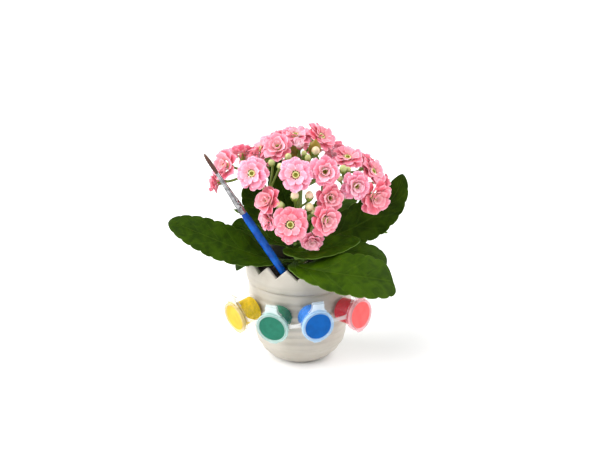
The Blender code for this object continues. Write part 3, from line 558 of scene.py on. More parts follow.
def pillow(middle, lift):
    """Two skins over a grid of middle points, lifted to both sides along the grid's normals.

    The grid's edge points belong to both skins, so the piece is closed. Gives the points, the upper
    faces, the lower faces, and for each point the number of the grid point that it comes from.
    """
    rows, columns = middle.shape[:2]
    normal = unit(np.cross(np.gradient(middle, axis=1), np.gradient(middle, axis=0)))
    inner = np.zeros((rows, columns), bool)
    inner[1:-1, 1:-1] = True
    lift = (normal * np.broadcast_to(lift, (rows, columns))[..., None]) * inner[..., None]
    number = np.arange(rows * columns)
    lower = number.copy()
    lower[inner.ravel()] = rows * columns + np.arange(inner.sum())
    points = np.concatenate([(middle + lift).reshape(-1, 3), (middle - lift)[inner]])
    upper_faces = quads(rows, columns)
    source = np.concatenate([number, number[inner.ravel()]])
    return points, upper_faces, lower[upper_faces][:, ::-1], source


def pot_finish():
    """Warm white unglazed ceramic: faint throwing lines, soft blotches, a fine tooth and painted shade inside."""
    finish = Finish("pot_ceramic")
    lines = finish.noise(1.5, 2.0, (0.015, 0.015, 1.0))
    blotches = finish.noise(16.0, 3.0)
    grain = finish.noise(0.35, 2.0)
    tone = finish.mix(blotches.clipped(0.35, 0.7), (0.44, 0.405, 0.345), (0.50, 0.465, 0.405))
    colour = finish.mix(lines.clipped(0.5, 0.8) * 0.35, tone, (0.35, 0.315, 0.26))
    # Painted shade: the inside wall goes near black, darkest deep down and lighter towards the rim, varied by the
    # blotches.
    stain = finish.value("stain") * (0.75 + blotches.clipped(0.3, 0.7) * 0.25)
    colour = finish.mix(stain, colour, (0.055, 0.042, 0.028))
    height = lines * 0.7 + grain * 0.3
    return finish.surface(
        Base_Color=colour, Roughness=0.42 + grain * 0.16, Coat_Weight=0.12, Coat_Roughness=0.35,
        Normal=finish.bump(height, 0.12))


def make_pot():
    """The pot as one closed skin of turned rings, with its rim cut into rounded teeth.

    The rim's height at an azimuth is a triangle wave of 16 teeth, rounded at its tips and valleys.
    Each column of the wall runs up to that height, over a round edge and down inside.
    """
    columns = TEETH * TOOTH_COLUMNS
    phase = np.arange(columns) / TOOTH_COLUMNS % 1.0
    wave = 1 - np.sqrt((2 * phase - 1) ** 2 + 0.004) + 0.03
    wave = np.maximum(wave, 0.5 * (wave + np.sqrt(wave**2 + 0.002)))
    rim = VALLEY_HEIGHT + (TIP_HEIGHT - VALLEY_HEIGHT) * np.minimum(wave, 1.0)
    outside = rounded([(0.0, 0.0)] + POT_OUTSIDE, 0.35, 0.6)
    ripple = THROWING_RIPPLE * np.sin(2 * np.pi * outside[:, 1] / THROWING_PITCH)
    outside[:, 0] += ripple * smooth(outside[:, 1], 2.0, 7.0) * (1 - smooth(outside[:, 1], 45.0, 52.0))
    rings = [*turned(outside, columns, VALLEY_AZIMUTH)]
    rise = np.linspace(0, 1, 9)[1:]
    edge = np.radians(np.linspace(0, 180, 9))
    middle = (RIM_RADIUS_OUTER + RIM_RADIUS_INNER) / 2
    half = (RIM_RADIUS_OUTER - RIM_RADIUS_INNER) / 2
    unit_ring = turned([(1.0, 0.0)], columns, VALLEY_AZIMUTH)[0]
    shoulder = rim - RIM_ROUNDING
    start_height = POT_OUTSIDE[-1][1]
    inner_start = POT_INSIDE[0][1]

    def ring(radius, height):
        return unit_ring * radius + np.stack([0 * height, 0 * height, height], axis=1)

    for step in rise:
        rings.append(ring(RIM_RADIUS_OUTER, start_height + (shoulder - start_height) * step))
    for angle in edge[1:-1]:
        rings.append(ring(middle + half * math.cos(angle), shoulder + RIM_ROUNDING * math.sin(angle)))
    # Painted shade on the inside: 0 outside and over the rim, then from 0.2 just below the rim up to 1 deep inside.
    stain = [0.0] * len(rings)
    for step in rise[::-1]:
        rings.append(ring(RIM_RADIUS_INNER, inner_start + (shoulder - inner_start) * step))
        stain.append(1.0 - 0.8 * step)
    inside = rounded(POT_INSIDE + [(0.0, 4.0)], 0.7, 2.0)[:-1]
    rings += [*turned(inside, columns, VALLEY_AZIMUTH)]
    skin = Skin()
    rings = np.array(rings)
    rings[0] += unit_ring * 0.01
    stain += [1.0] * (len(rings) - len(stain))
    skin.add(*capped(rings), stain=with_ends(np.array(stain)[:, None] + np.zeros(columns)))
    make("pot_shell", skin, [pot_finish()], replaced=["pot"])


def soil_finish():
    """Dark peat: crumbs of two browns, paler fibres and a damp sheen."""
    finish = Finish("peat")
    coarse = finish.noise(2.2, 4.0)
    fine = finish.noise(0.5, 3.0)
    tone = finish.value("tone")
    brown = finish.mix(coarse.clipped(0.35, 0.7), (0.006, 0.004, 0.003), (0.030, 0.018, 0.011))
    colour = finish.mix(tone.clipped(0.9, 0.96), brown, (0.42, 0.36, 0.28))
    return finish.surface(
        Base_Color=colour, Roughness=0.85 + fine * 0.1, Normal=finish.bump(coarse * 0.5 + fine * 0.5, 0.5))


def make_soil():
    """The soil's mound and crumbs.

    The mound is a polar grid whose height follows the mound's profile with sums of sines added. Each
    crumb is an octahedron cut once, its corners drawn from a seeded generator.
    """
    random = np.random.default_rng(7)
    radius = np.linspace(0.02, 1.0, 40)[:, None] ** 0.7 * SOIL_RADIUS
    turn = np.linspace(0, 2 * np.pi, 120, endpoint=False)[None, :]
    x, y = radius * np.sin(turn), -radius * np.cos(turn)
    height = np.interp(radius, [r for r, _ in SOIL_MOUND], [z for _, z in SOIL_MOUND]) + 0 * turn
    for size, amount in ((7.0, 0.5), (3.2, 0.35), (1.7, 0.25)):
        for _ in range(5):
            way, shift = random.uniform(0, 2 * np.pi, 2)
            height += amount / 2 * np.sin((x * math.cos(way) + y * math.sin(way)) * 2 * np.pi / size + shift)
    top = np.stack([x, y, np.minimum(height, SOIL_MOUND[0][1] + 1.0)], axis=-1)
    wall = top[-1].copy()
    wall[:, 2] = SOIL_MOUND[-1][1] - 4.0
    rings = np.concatenate([top, wall[None]])
    skin = Skin()
    skin.add(*capped(rings), tone=0.0)
    corners = np.array([(1, 0, 0), (-1, 0, 0), (0, 1, 0), (0, -1, 0), (0, 0, 1), (0, 0, -1)], float)
    faces = np.array([(0, 2, 4), (2, 1, 4), (1, 3, 4), (3, 0, 4), (2, 0, 5), (1, 2, 5), (3, 1, 5), (0, 3, 5)])
    for _ in range(CRUMBS):
        away, turn = SOIL_RADIUS * math.sqrt(random.uniform(0, 0.92)), random.uniform(0, 2 * np.pi)
        size = random.uniform(0.35, 1.15)
        ground = np.interp(away, [r for r, _ in SOIL_MOUND], [z for _, z in SOIL_MOUND])
        centre = np.array([away * math.sin(turn), -away * math.cos(turn), ground + 0.35])
        shape = corners * random.uniform(0.5, 1.0, (6, 1)) * size * random.uniform(0.6, 1.2, 3)
        spin, _ = np.linalg.qr(random.normal(size=(3, 3)))
        skin.add(shape @ spin + centre, faces, tone=random.uniform(0, 1))
    make("soil_mound", skin, [soil_finish()], replaced=["soil"], sharp=30.0)


def leaf_half_width(s, half_width, widest, lobes):
    """Half the blade's width at s, from 0 at its start to 1 at its tip: an oval with round lobes.

    The oval is s^a (1 - s)^b, which is widest at s = a / (a + b).
    """
    a, b = OVAL_POWER * widest, OVAL_POWER * (1 - widest)
    oval = s**a * (1 - s) ** b / (widest**a * (1 - widest) ** b)
    notch = (1 - np.abs(np.sin(np.pi * lobes * s))) ** 2
    return half_width * oval * (1 - LOBE_DEPTH * notch * np.clip(s / 0.3, 0, 1))


def leaf_finish():
    """Waxy dark green: mottled and pored, with faint side veins and a paler midrib, edge and underside."""
    finish = Finish("leaf_skin")
    along, across, upper, light = (finish.value(name) for name in ("along", "across", "upper", "light"))
    mottle = finish.noise(7.0, 4.0, distortion=0.6)
    cells = finish.noise(0.5, 3.0)
    middle = across.absolute()
    wave = (along * 44.0 - middle * 9.0 + mottle * 1.5).maths("SINE")
    vein = wave.clipped(0.84, 1.0) * middle.clipped(0.02, 0.12) * (1 - middle.clipped(0.75, 0.95))
    midrib = 1 - middle.clipped(0.01, 0.05)
    # Painted light and shade: each leaf's light value picks a lighter green for leaves in the light and a darker one
    # for shaded leaves.
    dark = finish.mix(light, (0.008, 0.023, 0.0002), (0.020, 0.048, 0.0002))
    bright = finish.mix(light, (0.020, 0.047, 0.0002), (0.043, 0.092, 0.0003))
    top = finish.mix(mottle.clipped(0.28, 0.72), dark, bright)
    top = finish.mix(cells.clipped(0.5, 0.8) * 0.3, top, (0.048, 0.098, 0.002))
    top = finish.mix(vein * 0.09 + midrib * 0.22, top, (0.075, 0.135, 0.012))
    top = finish.mix(middle.clipped(0.96, 1.0) * 0.45, top, (0.17, 0.26, 0.05))
    under = finish.mix(mottle.clipped(0.3, 0.7), (0.045, 0.11, 0.018), (0.075, 0.165, 0.028))
    colour = finish.mix(upper.clipped(-0.3, 0.1), under, top)
    height = mottle * 0.5 + cells * 0.2 - vein * 0.3 - midrib * 0.3
    return finish.surface(
        Base_Color=colour, Roughness=0.42 + cells * 0.2, Specular_IOR_Level=0.06, Normal=finish.bump(height, 0.5))


def make_leaf(leaf, finish):
    """One leaf: rings round the midrib's curve, from a round petiole to a thin lobed blade.

    Across a ring w runs from -1 to 1 and back underneath. Its height is edge / 2 * e^0.3 + (middle -
    edge) / 2 * e^1.2, with e = sqrt(1 - w^2), which is a lens with a round edge. The blade is raised
    by fold * |w|, sags along wavy edges, and has a groove above and a rib below the midrib.
    """
    name, azimuth, height, third, two_thirds, tip, width, face, fold, widest, lobes, light = leaf
    stem_radius = np.interp(height, [z for _, z in STEM_PROFILE], [r for r, _ in STEM_PROFILE])
    root = np.array([STEM_X, STEM_Y, height]) + azimuth_vector(azimuth) * (stem_radius - 0.6)
    curve = through(root, third, two_thirds, tip)
    s = 1 - (1 - np.linspace(0, 1, LEAF_ROWS - 10)) ** 1.35
    t = np.concatenate([np.linspace(0, BLADE_START, 11)[:-1], BLADE_START + (1 - BLADE_START) * s])
    s = np.concatenate([np.zeros(10), s])
    path = bezier(*curve, t)
    along = unit(bezier(*curve, t + 0.01) - bezier(*curve, t - 0.01))
    blend = smooth(t, 0, TWIST_END)[:, None]
    facing = (1 - blend) * np.array([0.0, 0.0, 1.0]) + blend * unit(face)
    side = unit(np.cross(along, facing))
    normal = unit(np.cross(side, along))
    petiole = 1 - smooth(t, 0.1, 0.35)
    half = (leaf_half_width(s, width / 2, widest, lobes) ** 3 + (PETIOLE_HALF_WIDTH * petiole) ** 3) ** (1 / 3)
    half = np.maximum(half, 0.05)
    closing = np.sqrt(np.clip((1 - s) / 0.03, 0.0, 1.0))
    thickness = (LEAF_THICKNESS + (PETIOLE_THICKNESS - LEAF_THICKNESS) * petiole) * closing
    edge = np.maximum(LEAF_EDGE_THICKNESS, thickness - 1.0) * closing
    q = np.linspace(0, 1, LEAF_HALF_COLUMNS + 1)
    w = np.sin(np.pi / 2 * q) ** 1.5
    w = np.concatenate([w[::-1], -w[1:], -w[-2::-1], w[1:-1]])
    upper = np.where(np.arange(len(w)) <= 2 * LEAF_HALF_COLUMNS, 1.0, -1.0)
    round_edge = np.sqrt(np.clip(1 - w**2, 0, 1))
    body = edge[:, None] / 2 * round_edge**0.3 + (thickness - edge)[:, None] / 2 * round_edge**1.2
    from_rib = np.abs(w) * half[:, None]
    groove = np.exp(-((from_rib / 0.8) ** 2)) * smooth(t, 0.05, 0.25)[:, None] * (1 - smooth(s, 0.8, 1.0))[:, None]
    wave = np.sin(2 * np.pi * (lobes * s[:, None] * 0.5 + 0.23 * np.sign(w))) * w**2 * 0.02 * half[:, None]
    lift = np.where(upper > 0, body - groove * 0.35, -body - groove * 0.45)
    lift = lift + fold * from_rib + wave
    rings = path[:, None] + side[:, None] * (w * half[:, None])[..., None] + normal[:, None] * lift[..., None]
    skin = Skin()
    skin.add(
        *capped(rings), along=with_ends(t[:, None] + 0 * w), across=with_ends(0 * t[:, None] + w),
        upper=with_ends(0 * t[:, None] + upper * round_edge), light=light)
    make(name.replace("leaf_", "leaf_blade_"), skin, [finish], replaced=[name], sharp=70.0)


def petal(length, spread, rise, droop, cup, random):
    """Middle points of a petal in its own frame: x out, y across and z up.

    The petal is a fan of rays. A ray at share u of the half spread is length * cos(90 |u|^2.4)^0.42
    long, a little longer at the middle and wavy at its end. It bends along an arc, so that its slope
    goes from rise to droop, and z gets cup * y^2 / length and a ruffle that grows to the edge.
    """
    v = (np.linspace(0.16, 1.0, PETAL_ROWS) ** 0.8)[:, None]
    u = np.linspace(-0.93, 0.93, PETAL_COLUMNS)[None, :]
    phase = random.uniform(0, 2 * np.pi, 3)
    ray = length * np.cos(np.pi / 2 * np.abs(u) ** 2.4) ** 0.42
    ray = ray * (1 + 0.06 * np.exp(-((u / 0.2) ** 2)) + 0.03 * np.sin(5 * u + phase[0]))
    angle = u * math.radians(spread)
    out, across = v * ray * np.cos(angle), v * ray * np.sin(angle)
    start, bend = math.radians(rise), math.radians(droop - rise) + 1e-4
    slope = start + bend * out / length
    x = length * (np.sin(slope) - math.sin(start)) / bend
    z = length * (math.cos(start) - np.cos(slope)) / bend
    ruffle = 0.08 * length * v**3 * np.sin(3.6 * u + phase[1])
    ruffle = ruffle + 0.035 * length * v**4 * np.sin(8 * u + phase[2])
    normal_part = cup * across**2 / length + ruffle - 0.15 * np.exp(-((across / 0.5) ** 2)) * v
    x, z = x - normal_part * np.sin(slope), z + normal_part * np.cos(slope)
    roll = math.radians(PETAL_TWIST + random.uniform(-4, 4))
    across, z = across * math.cos(roll), z + across * math.sin(roll)
    return np.stack([x, across, z], axis=-1), np.broadcast_to(v, x.shape), np.broadcast_to(u, x.shape)


def bloom_axes(facing):
    """A bloom's own axes as rows, the third along the way that it faces."""
    side = unit(np.cross((0.0, 0.0, 1.0), facing) if abs(facing[2]) < 0.95 else (1.0, 0.0, 0.0))
    side = unit(side - facing * (side @ facing))
    return np.stack([side, np.cross(facing, side), facing])


def make_bloom(bloom, finishes, seed):
    """A double bloom: whorls of petals over a slim tube, round a green heart with five tips."""
    name, _, centre, azimuth, elevation, kind, radius, coral = bloom
    random = np.random.default_rng(100 + seed)
    facing = azimuth_vector(azimuth, elevation)
    axes = bloom_axes(facing)
    base = np.array(centre) - facing * BLOOM_BASE
    size = radius / 10.0
    skin = Skin()
    start = random.uniform(0, 360)
    for petals, length, spread, rise, droop, root_radius, root_height, cup, cream in WHORLS[kind]:
        start += 180.0 / petals + random.uniform(-8, 8)
        lean = random.uniform(0, 2 * np.pi)
        for index in range(petals):
            turn = math.radians(start + (index + random.uniform(-0.14, 0.14)) * 360.0 / petals)
            tilt = 5.0 * math.cos(turn - lean)
            grid, along, across = petal(
                length * size * random.uniform(0.86, 1.06), spread * random.uniform(0.9, 1.08),
                rise + tilt + random.uniform(-6, 6), droop + tilt + random.uniform(-15, 15), cup, random)
            grid = grid + (root_radius * size, 0.0, root_height)
            points, upper, lower, source = pillow(grid @ spin(turn) @ axes + base, PETAL_HALF_THICKNESS)
            first = skin.total
            skin.add(points, upper, along=along.ravel()[source], across=across.ravel()[source],
                     coral=np.clip(coral + random.uniform(-0.12, 0.12), 0, 1),
                     cream=np.clip(cream + random.uniform(-0.08, 0.08), 0, 1))
            skin.cover(lower + first, 1)
    heart_height = WHORLS[kind][-1][6]
    tube_points, *tube_faces = capped(turned([(0.7, 0.0), (1.5, 0.25), (1.7, 1.6), (2.0, 3.3)], 16))
    skin.add(local(tube_points, axes, base), *tube_faces, finish=1, coral=coral, along=0.05)
    top = heart_height + 0.75
    heart = turned([(1.6, 3.0), (1.9, top - 0.5), (1.95, top), (1.5, top + 0.1), (0.95, top - 0.35)], 18)
    points, *faces = capped(heart * (size, size, 1.0))
    shade = with_ends(np.array([0.0, 0.0, 0.1, 0.3, 1.0])[:, None] + np.zeros(18))
    skin.add(local(points, axes, base), *faces, finish=2, along=shade)
    for index in range(5):
        turn = math.radians(start + 72.0 * index)
        out = np.array([math.cos(turn), math.sin(turn), 0.0])
        path = out * 0.55 * size + (0, 0, heart_height) + np.outer(np.linspace(0, 1, 5), out * 0.4 + (0, 0, 1.2))
        points, *faces = capped(tube(path, [0.42, 0.44, 0.36, 0.24, 0.1], 7))
        skin.add(local(points, axes, base), *faces, finish=2, along=1.0)
    make(name.replace("bloom_", "double_bloom_"), skin, finishes, replaced=[name], sharp=75.0)


def spin(turn):
    """The rotation, for points as rows, that turns x towards y."""
    return np.array([
        [math.cos(turn), math.sin(turn), 0.0], [-math.sin(turn), math.cos(turn), 0.0], [0.0, 0.0, 1.0]])


def local(points, axes, centre):
    """Points carried from a piece's own axes to their place."""
    return points @ axes + centre


def petal_finish(name, reverse):
    """A petal's skin: cream at the root, deep pink in the middle, paler to the tip, veined along it; painted highlight
    on its rim and tip, painted shade at an outer petal's root.
    """
    finish = Finish(name)
    along, across, coral, cream = (finish.value(key) for key in ("along", "across", "coral", "cream"))
    spot = finish.node("ShaderNodeCombineXYZ", None, {0: across * 9.0, 1: along * 0.9, 2: coral * 30.0})
    streaks = finish.node("ShaderNodeTexNoise", None, {"Vector": spot, "Scale": 1.5, "Detail": 3.0})
    blotch = finish.noise(2.6, 2.0)
    pale = finish.mix(coral, (0.97, 0.50, 0.67), (0.94, 0.27, 0.37))
    deep = finish.mix(coral, (0.82, 0.12, 0.27), (0.76, 0.035, 0.08))
    if reverse:
        pale, deep = finish.mix(0.25, pale, deep), finish.mix(0.3, deep, (0.80, 0.22, 0.28))
    # Paler towards the tip: partly the petal's own colour, partly painted shade that deepens towards the root.
    light = along.clipped(0.3, 1.0) * 0.45 + streaks.clipped(0.35, 0.65) * 0.45 + blotch.clipped(0.4, 0.65) * 0.3
    colour = finish.mix(light, deep, pale)
    # Painted highlight: the rim and the tip of each petal turn near white.
    rim = across.absolute().clipped(0.7, 0.95) * along.clipped(0.5, 0.9) * 0.6
    tip = along.clipped(0.84, 1.0) * streaks.clipped(0.35, 0.6) * 0.4
    colour = finish.mix(rim + tip, colour, (1.0, 0.80, 0.87))
    colour = finish.mix(cream * (0.5 if reverse else 0.7), colour, (0.98, 0.78, 0.80))
    # Painted shade: the root of an outer petal turns deep red where it lies under the others; creamy inner petals keep
    # a cream root.
    root = 1 - along.clipped(0.2, 0.72)
    colour = finish.mix(root * (0.75 - cream * 0.75), colour, (0.80, 0.10, 0.20))
    colour = finish.mix(root * (0.1 + cream * 0.8), colour, (0.97, 0.80, 0.70))
    colour = finish.mix((1 - along.clipped(0.1, 0.3)) * cream, colour, (0.72, 0.70, 0.30))
    return finish.surface(
        Base_Color=colour, Roughness=0.5, Specular_IOR_Level=0.3,
        Subsurface_Weight=0.2, Subsurface_Radius=(1.0, 0.5, 0.45), Subsurface_Scale=0.001,
        Normal=finish.bump(streaks, 0.14))


def heart_finish():
    """The heart of a bloom: a yellow-green ring that is dark olive inside."""
    finish = Finish("bloom_heart")
    spots = finish.noise(0.8, 2.0)
    ring = finish.mix(spots.clipped(0.35, 0.65), (0.56, 0.55, 0.17), (0.74, 0.70, 0.32))
    inside = finish.mix(spots.clipped(0.35, 0.65), (0.16, 0.17, 0.012), (0.30, 0.29, 0.04))
    colour = finish.mix(finish.value("along").clipped(0.4, 0.7), ring, inside)
    return finish.surface(Base_Color=colour, Roughness=0.5, Specular_IOR_Level=0.2, Normal=finish.bump(spots, 0.1))


def stem_finish():
    """Fresh green stalk: yellower higher up, with a few reddish blotches. Empty calyces are olive brown."""
    finish = Finish("stalk_green")
    blotch = finish.noise(5.0, 3.0)
    streaks = finish.noise(0.7, 2.0, (1.0, 1.0, 0.15))
    ripe = finish.value("ripe")
    colour = finish.mix(blotch.clipped(0.3, 0.7), (0.07, 0.16, 0.015), (0.14, 0.24, 0.03))
    colour = finish.mix(ripe * 0.75, colour, (0.26, 0.33, 0.045))
    colour = finish.mix(blotch.clipped(0.55, 0.8) * 0.5, colour, (0.24, 0.15, 0.05))
    olive = finish.mix(blotch.clipped(0.35, 0.65), (0.12, 0.115, 0.004), (0.27, 0.17, 0.008))
    colour = finish.mix(ripe.clipped(1.2, 1.8), colour, olive)
    return finish.surface(
        Base_Color=colour, Roughness=0.45, Subsurface_Weight=0.08, Subsurface_Scale=0.001,
        Normal=finish.bump(streaks, 0.15))


def bud_finish():
    """Closed bud: green when young, cream with a pink blush when ripe."""
    finish = Finish("bud_skin")
    along, ripe = finish.value("along"), finish.value("ripe")
    blotch = finish.noise(1.6, 2.0)
    young = finish.mix(along.clipped(0.2, 0.9), (0.22, 0.34, 0.06), (0.45, 0.52, 0.18))
    grown = finish.mix(along.clipped(0.1, 0.8), (0.62, 0.60, 0.30), (0.84, 0.66, 0.48))
    grown = finish.mix(blotch.clipped(0.4, 0.7) * 0.5, grown, (0.86, 0.48, 0.42))
    colour = finish.mix(ripe, young, grown)
    return finish.surface(
        Base_Color=colour, Roughness=0.42, Subsurface_Weight=0.15, Subsurface_Scale=0.001,
        Normal=finish.bump(blotch, 0.12))


def sepals(skin, base, facing, radius, length, spread, seed):
    """Four pointed sepals round a base: thin pillows that rise along the way that the flower faces."""
    random = np.random.default_rng(seed)
    axes = bloom_axes(facing)
    v = np.linspace(0, 1, 7)[:, None]
    u = np.linspace(-1, 1, 5)[None, :]
    start = random.uniform(0, 90)
    for index in range(4):
        turn = math.radians(start + 90.0 * index)
        half = 0.62 * radius * (1 - v**1.8) + 0.05
        across = u * half
        out = radius * (0.55 + 0.55 * np.sin(v * 1.9)) + spread * v**2 - 0.35 * (across / radius) ** 2 * radius
        grid = np.stack([out + 0 * u, across + 0 * v, length * v + 0 * u], axis=-1)
        spin = np.array([
            [math.cos(turn), math.sin(turn), 0.0], [-math.sin(turn), math.cos(turn), 0.0], [0.0, 0.0, 1.0]])
        points, upper, lower, _ = pillow(grid @ spin @ axes + base, 0.22)
        skin.add(points, upper, lower, ripe=0.6)


def make_bract(skin, start, tip, width, thickness):
    """A small upright leaf: a tube on the line to its tip, flattened, with a sine for its width."""
    t = np.linspace(0, 1, 18)
    path = start + np.outer(t, tip - start) - np.outer(np.sin(np.pi * t), (0.0, 0.6, 0.0))
    radii = width / 2 * (0.25 + 0.75 * np.sin(np.pi * np.clip(t * 0.9 + 0.1, 0, 1)) ** 0.8) * (1 - t**6) + 0.05
    skin.add(*capped(tube(path, radii, 16, thickness / width)), ripe=2.0)


def stalk(start, end, facing, reach, count):
    """Curve points from a hub to a flower's base, arriving along the way that the flower faces."""
    start, end = np.asarray(start, float), np.asarray(end, float)
    bend_a = start + np.array([0.0, 0.0, 1.0]) * reach * 0.6 + (end - start) * 0.15
    return bezier(start, bend_a, end - facing * reach, end, np.linspace(0, 1, count))


def make_stems():
    """The trunk with its branches, a stalk with four sepals under each bloom and bud, and the buds."""
    skin, buds = Skin(), Skin()
    trunk = np.array([(STEM_X, STEM_Y, height) for _, height in STEM_PROFILE], float)
    heights = np.linspace(STEM_PROFILE[0][1], STEM_PROFILE[-1][1] + 1.0, 40)
    radii = np.interp(heights, [z for _, z in STEM_PROFILE], [r for r, _ in STEM_PROFILE])
    joints = np.exp(-(((heights[:, None] - np.array([68, 75, 82])) / 1.4) ** 2)).sum(axis=1)
    path = np.stack([0 * heights + STEM_X, 0 * heights + STEM_Y, heights], axis=1)
    skin.add(*capped(tube(path, radii + 0.35 * joints, 24)), ripe=0.0)
    hub_place = {"stem": trunk[-1]}
    for hub, (parent, place) in HUBS.items():
        start, end = hub_place[parent], np.array(place, float)
        hub_place[hub] = end
        begin = start - unit(end - start)
        t = np.linspace(0, 1, 14)
        middle = (begin + end) / 2 - (0, 0, 1.5)
        path = bezier(begin, (begin + 2 * middle) / 3, (end + 2 * middle) / 3, end, t)
        radii = np.interp(t, [0, 0.5, 1], [1.9, 1.6, 1.5])
        skin.add(*capped(tube(path, radii, 14)), ripe=0.3)
        knuckle = end + np.outer(np.linspace(-1, 1, 9), unit(end - middle) * 2.0)
        bulge = 2.0 * np.sqrt(1 - np.linspace(-0.97, 0.97, 9) ** 2)
        skin.add(*capped(tube(knuckle, bulge, 14)), ripe=0.35)
    for number, (_, hub, centre, azimuth, elevation, _, _, _) in enumerate(BLOOMS):
        facing = azimuth_vector(azimuth, elevation)
        end = np.array(centre) - facing * BLOOM_BASE
        path = stalk(hub_place[hub] - (0, 0, 0.6), end - facing * 2.4, facing, 5.0, 14)
        path = np.concatenate([path, [end - facing * 1.2, end + facing * 0.2]])
        radii = np.concatenate([np.interp(np.linspace(0, 1, 14), [0, 0.5, 1], [1.0, 0.8, 0.85]), [1.4, 1.5]])
        skin.add(*capped(tube(path, radii, 10)), ripe=0.5)
        sepals(skin, end - facing * 0.9, facing, 1.9, 5.0, 0.6, 300 + number)
    for number, (hub, centre, azimuth, elevation, radius, ripe) in enumerate(BUDS):
        facing = azimuth_vector(azimuth, elevation)
        low = np.array(centre) - facing * radius * 0.9
        path = stalk(hub_place[hub] - (0, 0, 0.6), low, facing, 4.0, 14)
        radii = np.interp(np.linspace(0, 1, 14), [0, 0.6, 0.9, 1], [0.85, 0.7, 0.85, 1.3])
        skin.add(*capped(tube(path, radii, 10)), ripe=0.6)
        cup = np.array(centre) + np.outer(np.linspace(-1.75, -0.35, 7) * radius, facing)
        shares = np.array([0.26, 0.42, 0.58, 0.72, 0.82, 0.88, 0.84])
        skin.add(*capped(tube(cup, radius * shares, 14)), ripe=0.8)
        sepals(skin, low - facing * 0.3, facing, radius * 0.9, radius * 1.1, -0.1 * radius, 400 + number)
        step = np.linspace(0, 1, 17)
        turn = np.arange(20) * 2 * np.pi / 20
        bulge = np.sin(np.pi * step**0.9) ** 0.62
        ring_radius = radius * 0.9 * bulge[:, None] * (1 - 0.06 * np.abs(np.cos(2 * turn)) ** 8)
        rise = (step * 2.15 - 0.95) * radius
        rings = np.stack([
            ring_radius * np.cos(turn), ring_radius * np.sin(turn), rise[:, None] + 0 * turn], axis=-1)
        points, sides, caps = capped(rings)
        buds.add(local(points, bloom_axes(facing), np.array(centre)), sides, caps,
                 along=with_ends(step[:, None] + 0 * turn), ripe=ripe)
    for hub, base, tip, width, thickness in BRACTS:
        base, tip = np.array(base, float), np.array(tip, float)
        path = stalk(hub_place[hub] - (0, 0, 0.6), base + unit(tip - base), unit(tip - base), 3.0, 12)
        skin.add(*capped(tube(path, np.linspace(1.0, 0.9, 12), 10)), ripe=0.5)
        make_bract(skin, base, tip, width, thickness)
    make("flower_stems", skin, [stem_finish()], replaced=["stems"], sharp=70.0)
    make("flower_buds", buds, [bud_finish()], sharp=70.0)


def bristle_finish():
    """Dark red-brown hair, paler at the tips."""
    finish = Finish("brush_hair")
    along, shade = finish.value("along"), finish.value("shade")
    colour = finish.mix(shade, (0.050, 0.016, 0.011), (0.17, 0.060, 0.035))
    colour = finish.mix(along.clipped(0.6, 1.0) * 0.5, colour, (0.26, 0.13, 0.08))
    return finish.surface(Base_Color=colour, Roughness=0.45)


def ferrule_finish():
    """Drawn aluminium: fine lines along the brush and slight smears."""
    finish = Finish("ferrule_aluminium")
    lines = finish.noise(0.5, 2.0, (1.0, 1.0, 1.0))
    smears = finish.noise(4.0, 2.0)
    colour = finish.mix(smears.clipped(0.3, 0.7), (0.13, 0.13, 0.135), (0.42, 0.42, 0.43))
    return finish.surface(
        Base_Color=colour, Metallic=1.0, Roughness=0.14 + smears * 0.12, Normal=finish.bump(lines, 0.02))


def handle_finish():
    """Glossy blue moulded plastic, slightly cloudy, under a clear skin."""
    finish = Finish("handle_plastic")
    cloud = finish.noise(6.0, 3.0)
    colour = finish.mix(cloud.clipped(0.3, 0.7), (0.0002, 0.040, 0.27), (0.0003, 0.100, 0.48))
    return finish.surface(
        Base_Color=colour, Roughness=0.22 + cloud * 0.08, Specular_IOR_Level=0.2,
        Normal=finish.bump(cloud, 0.05))


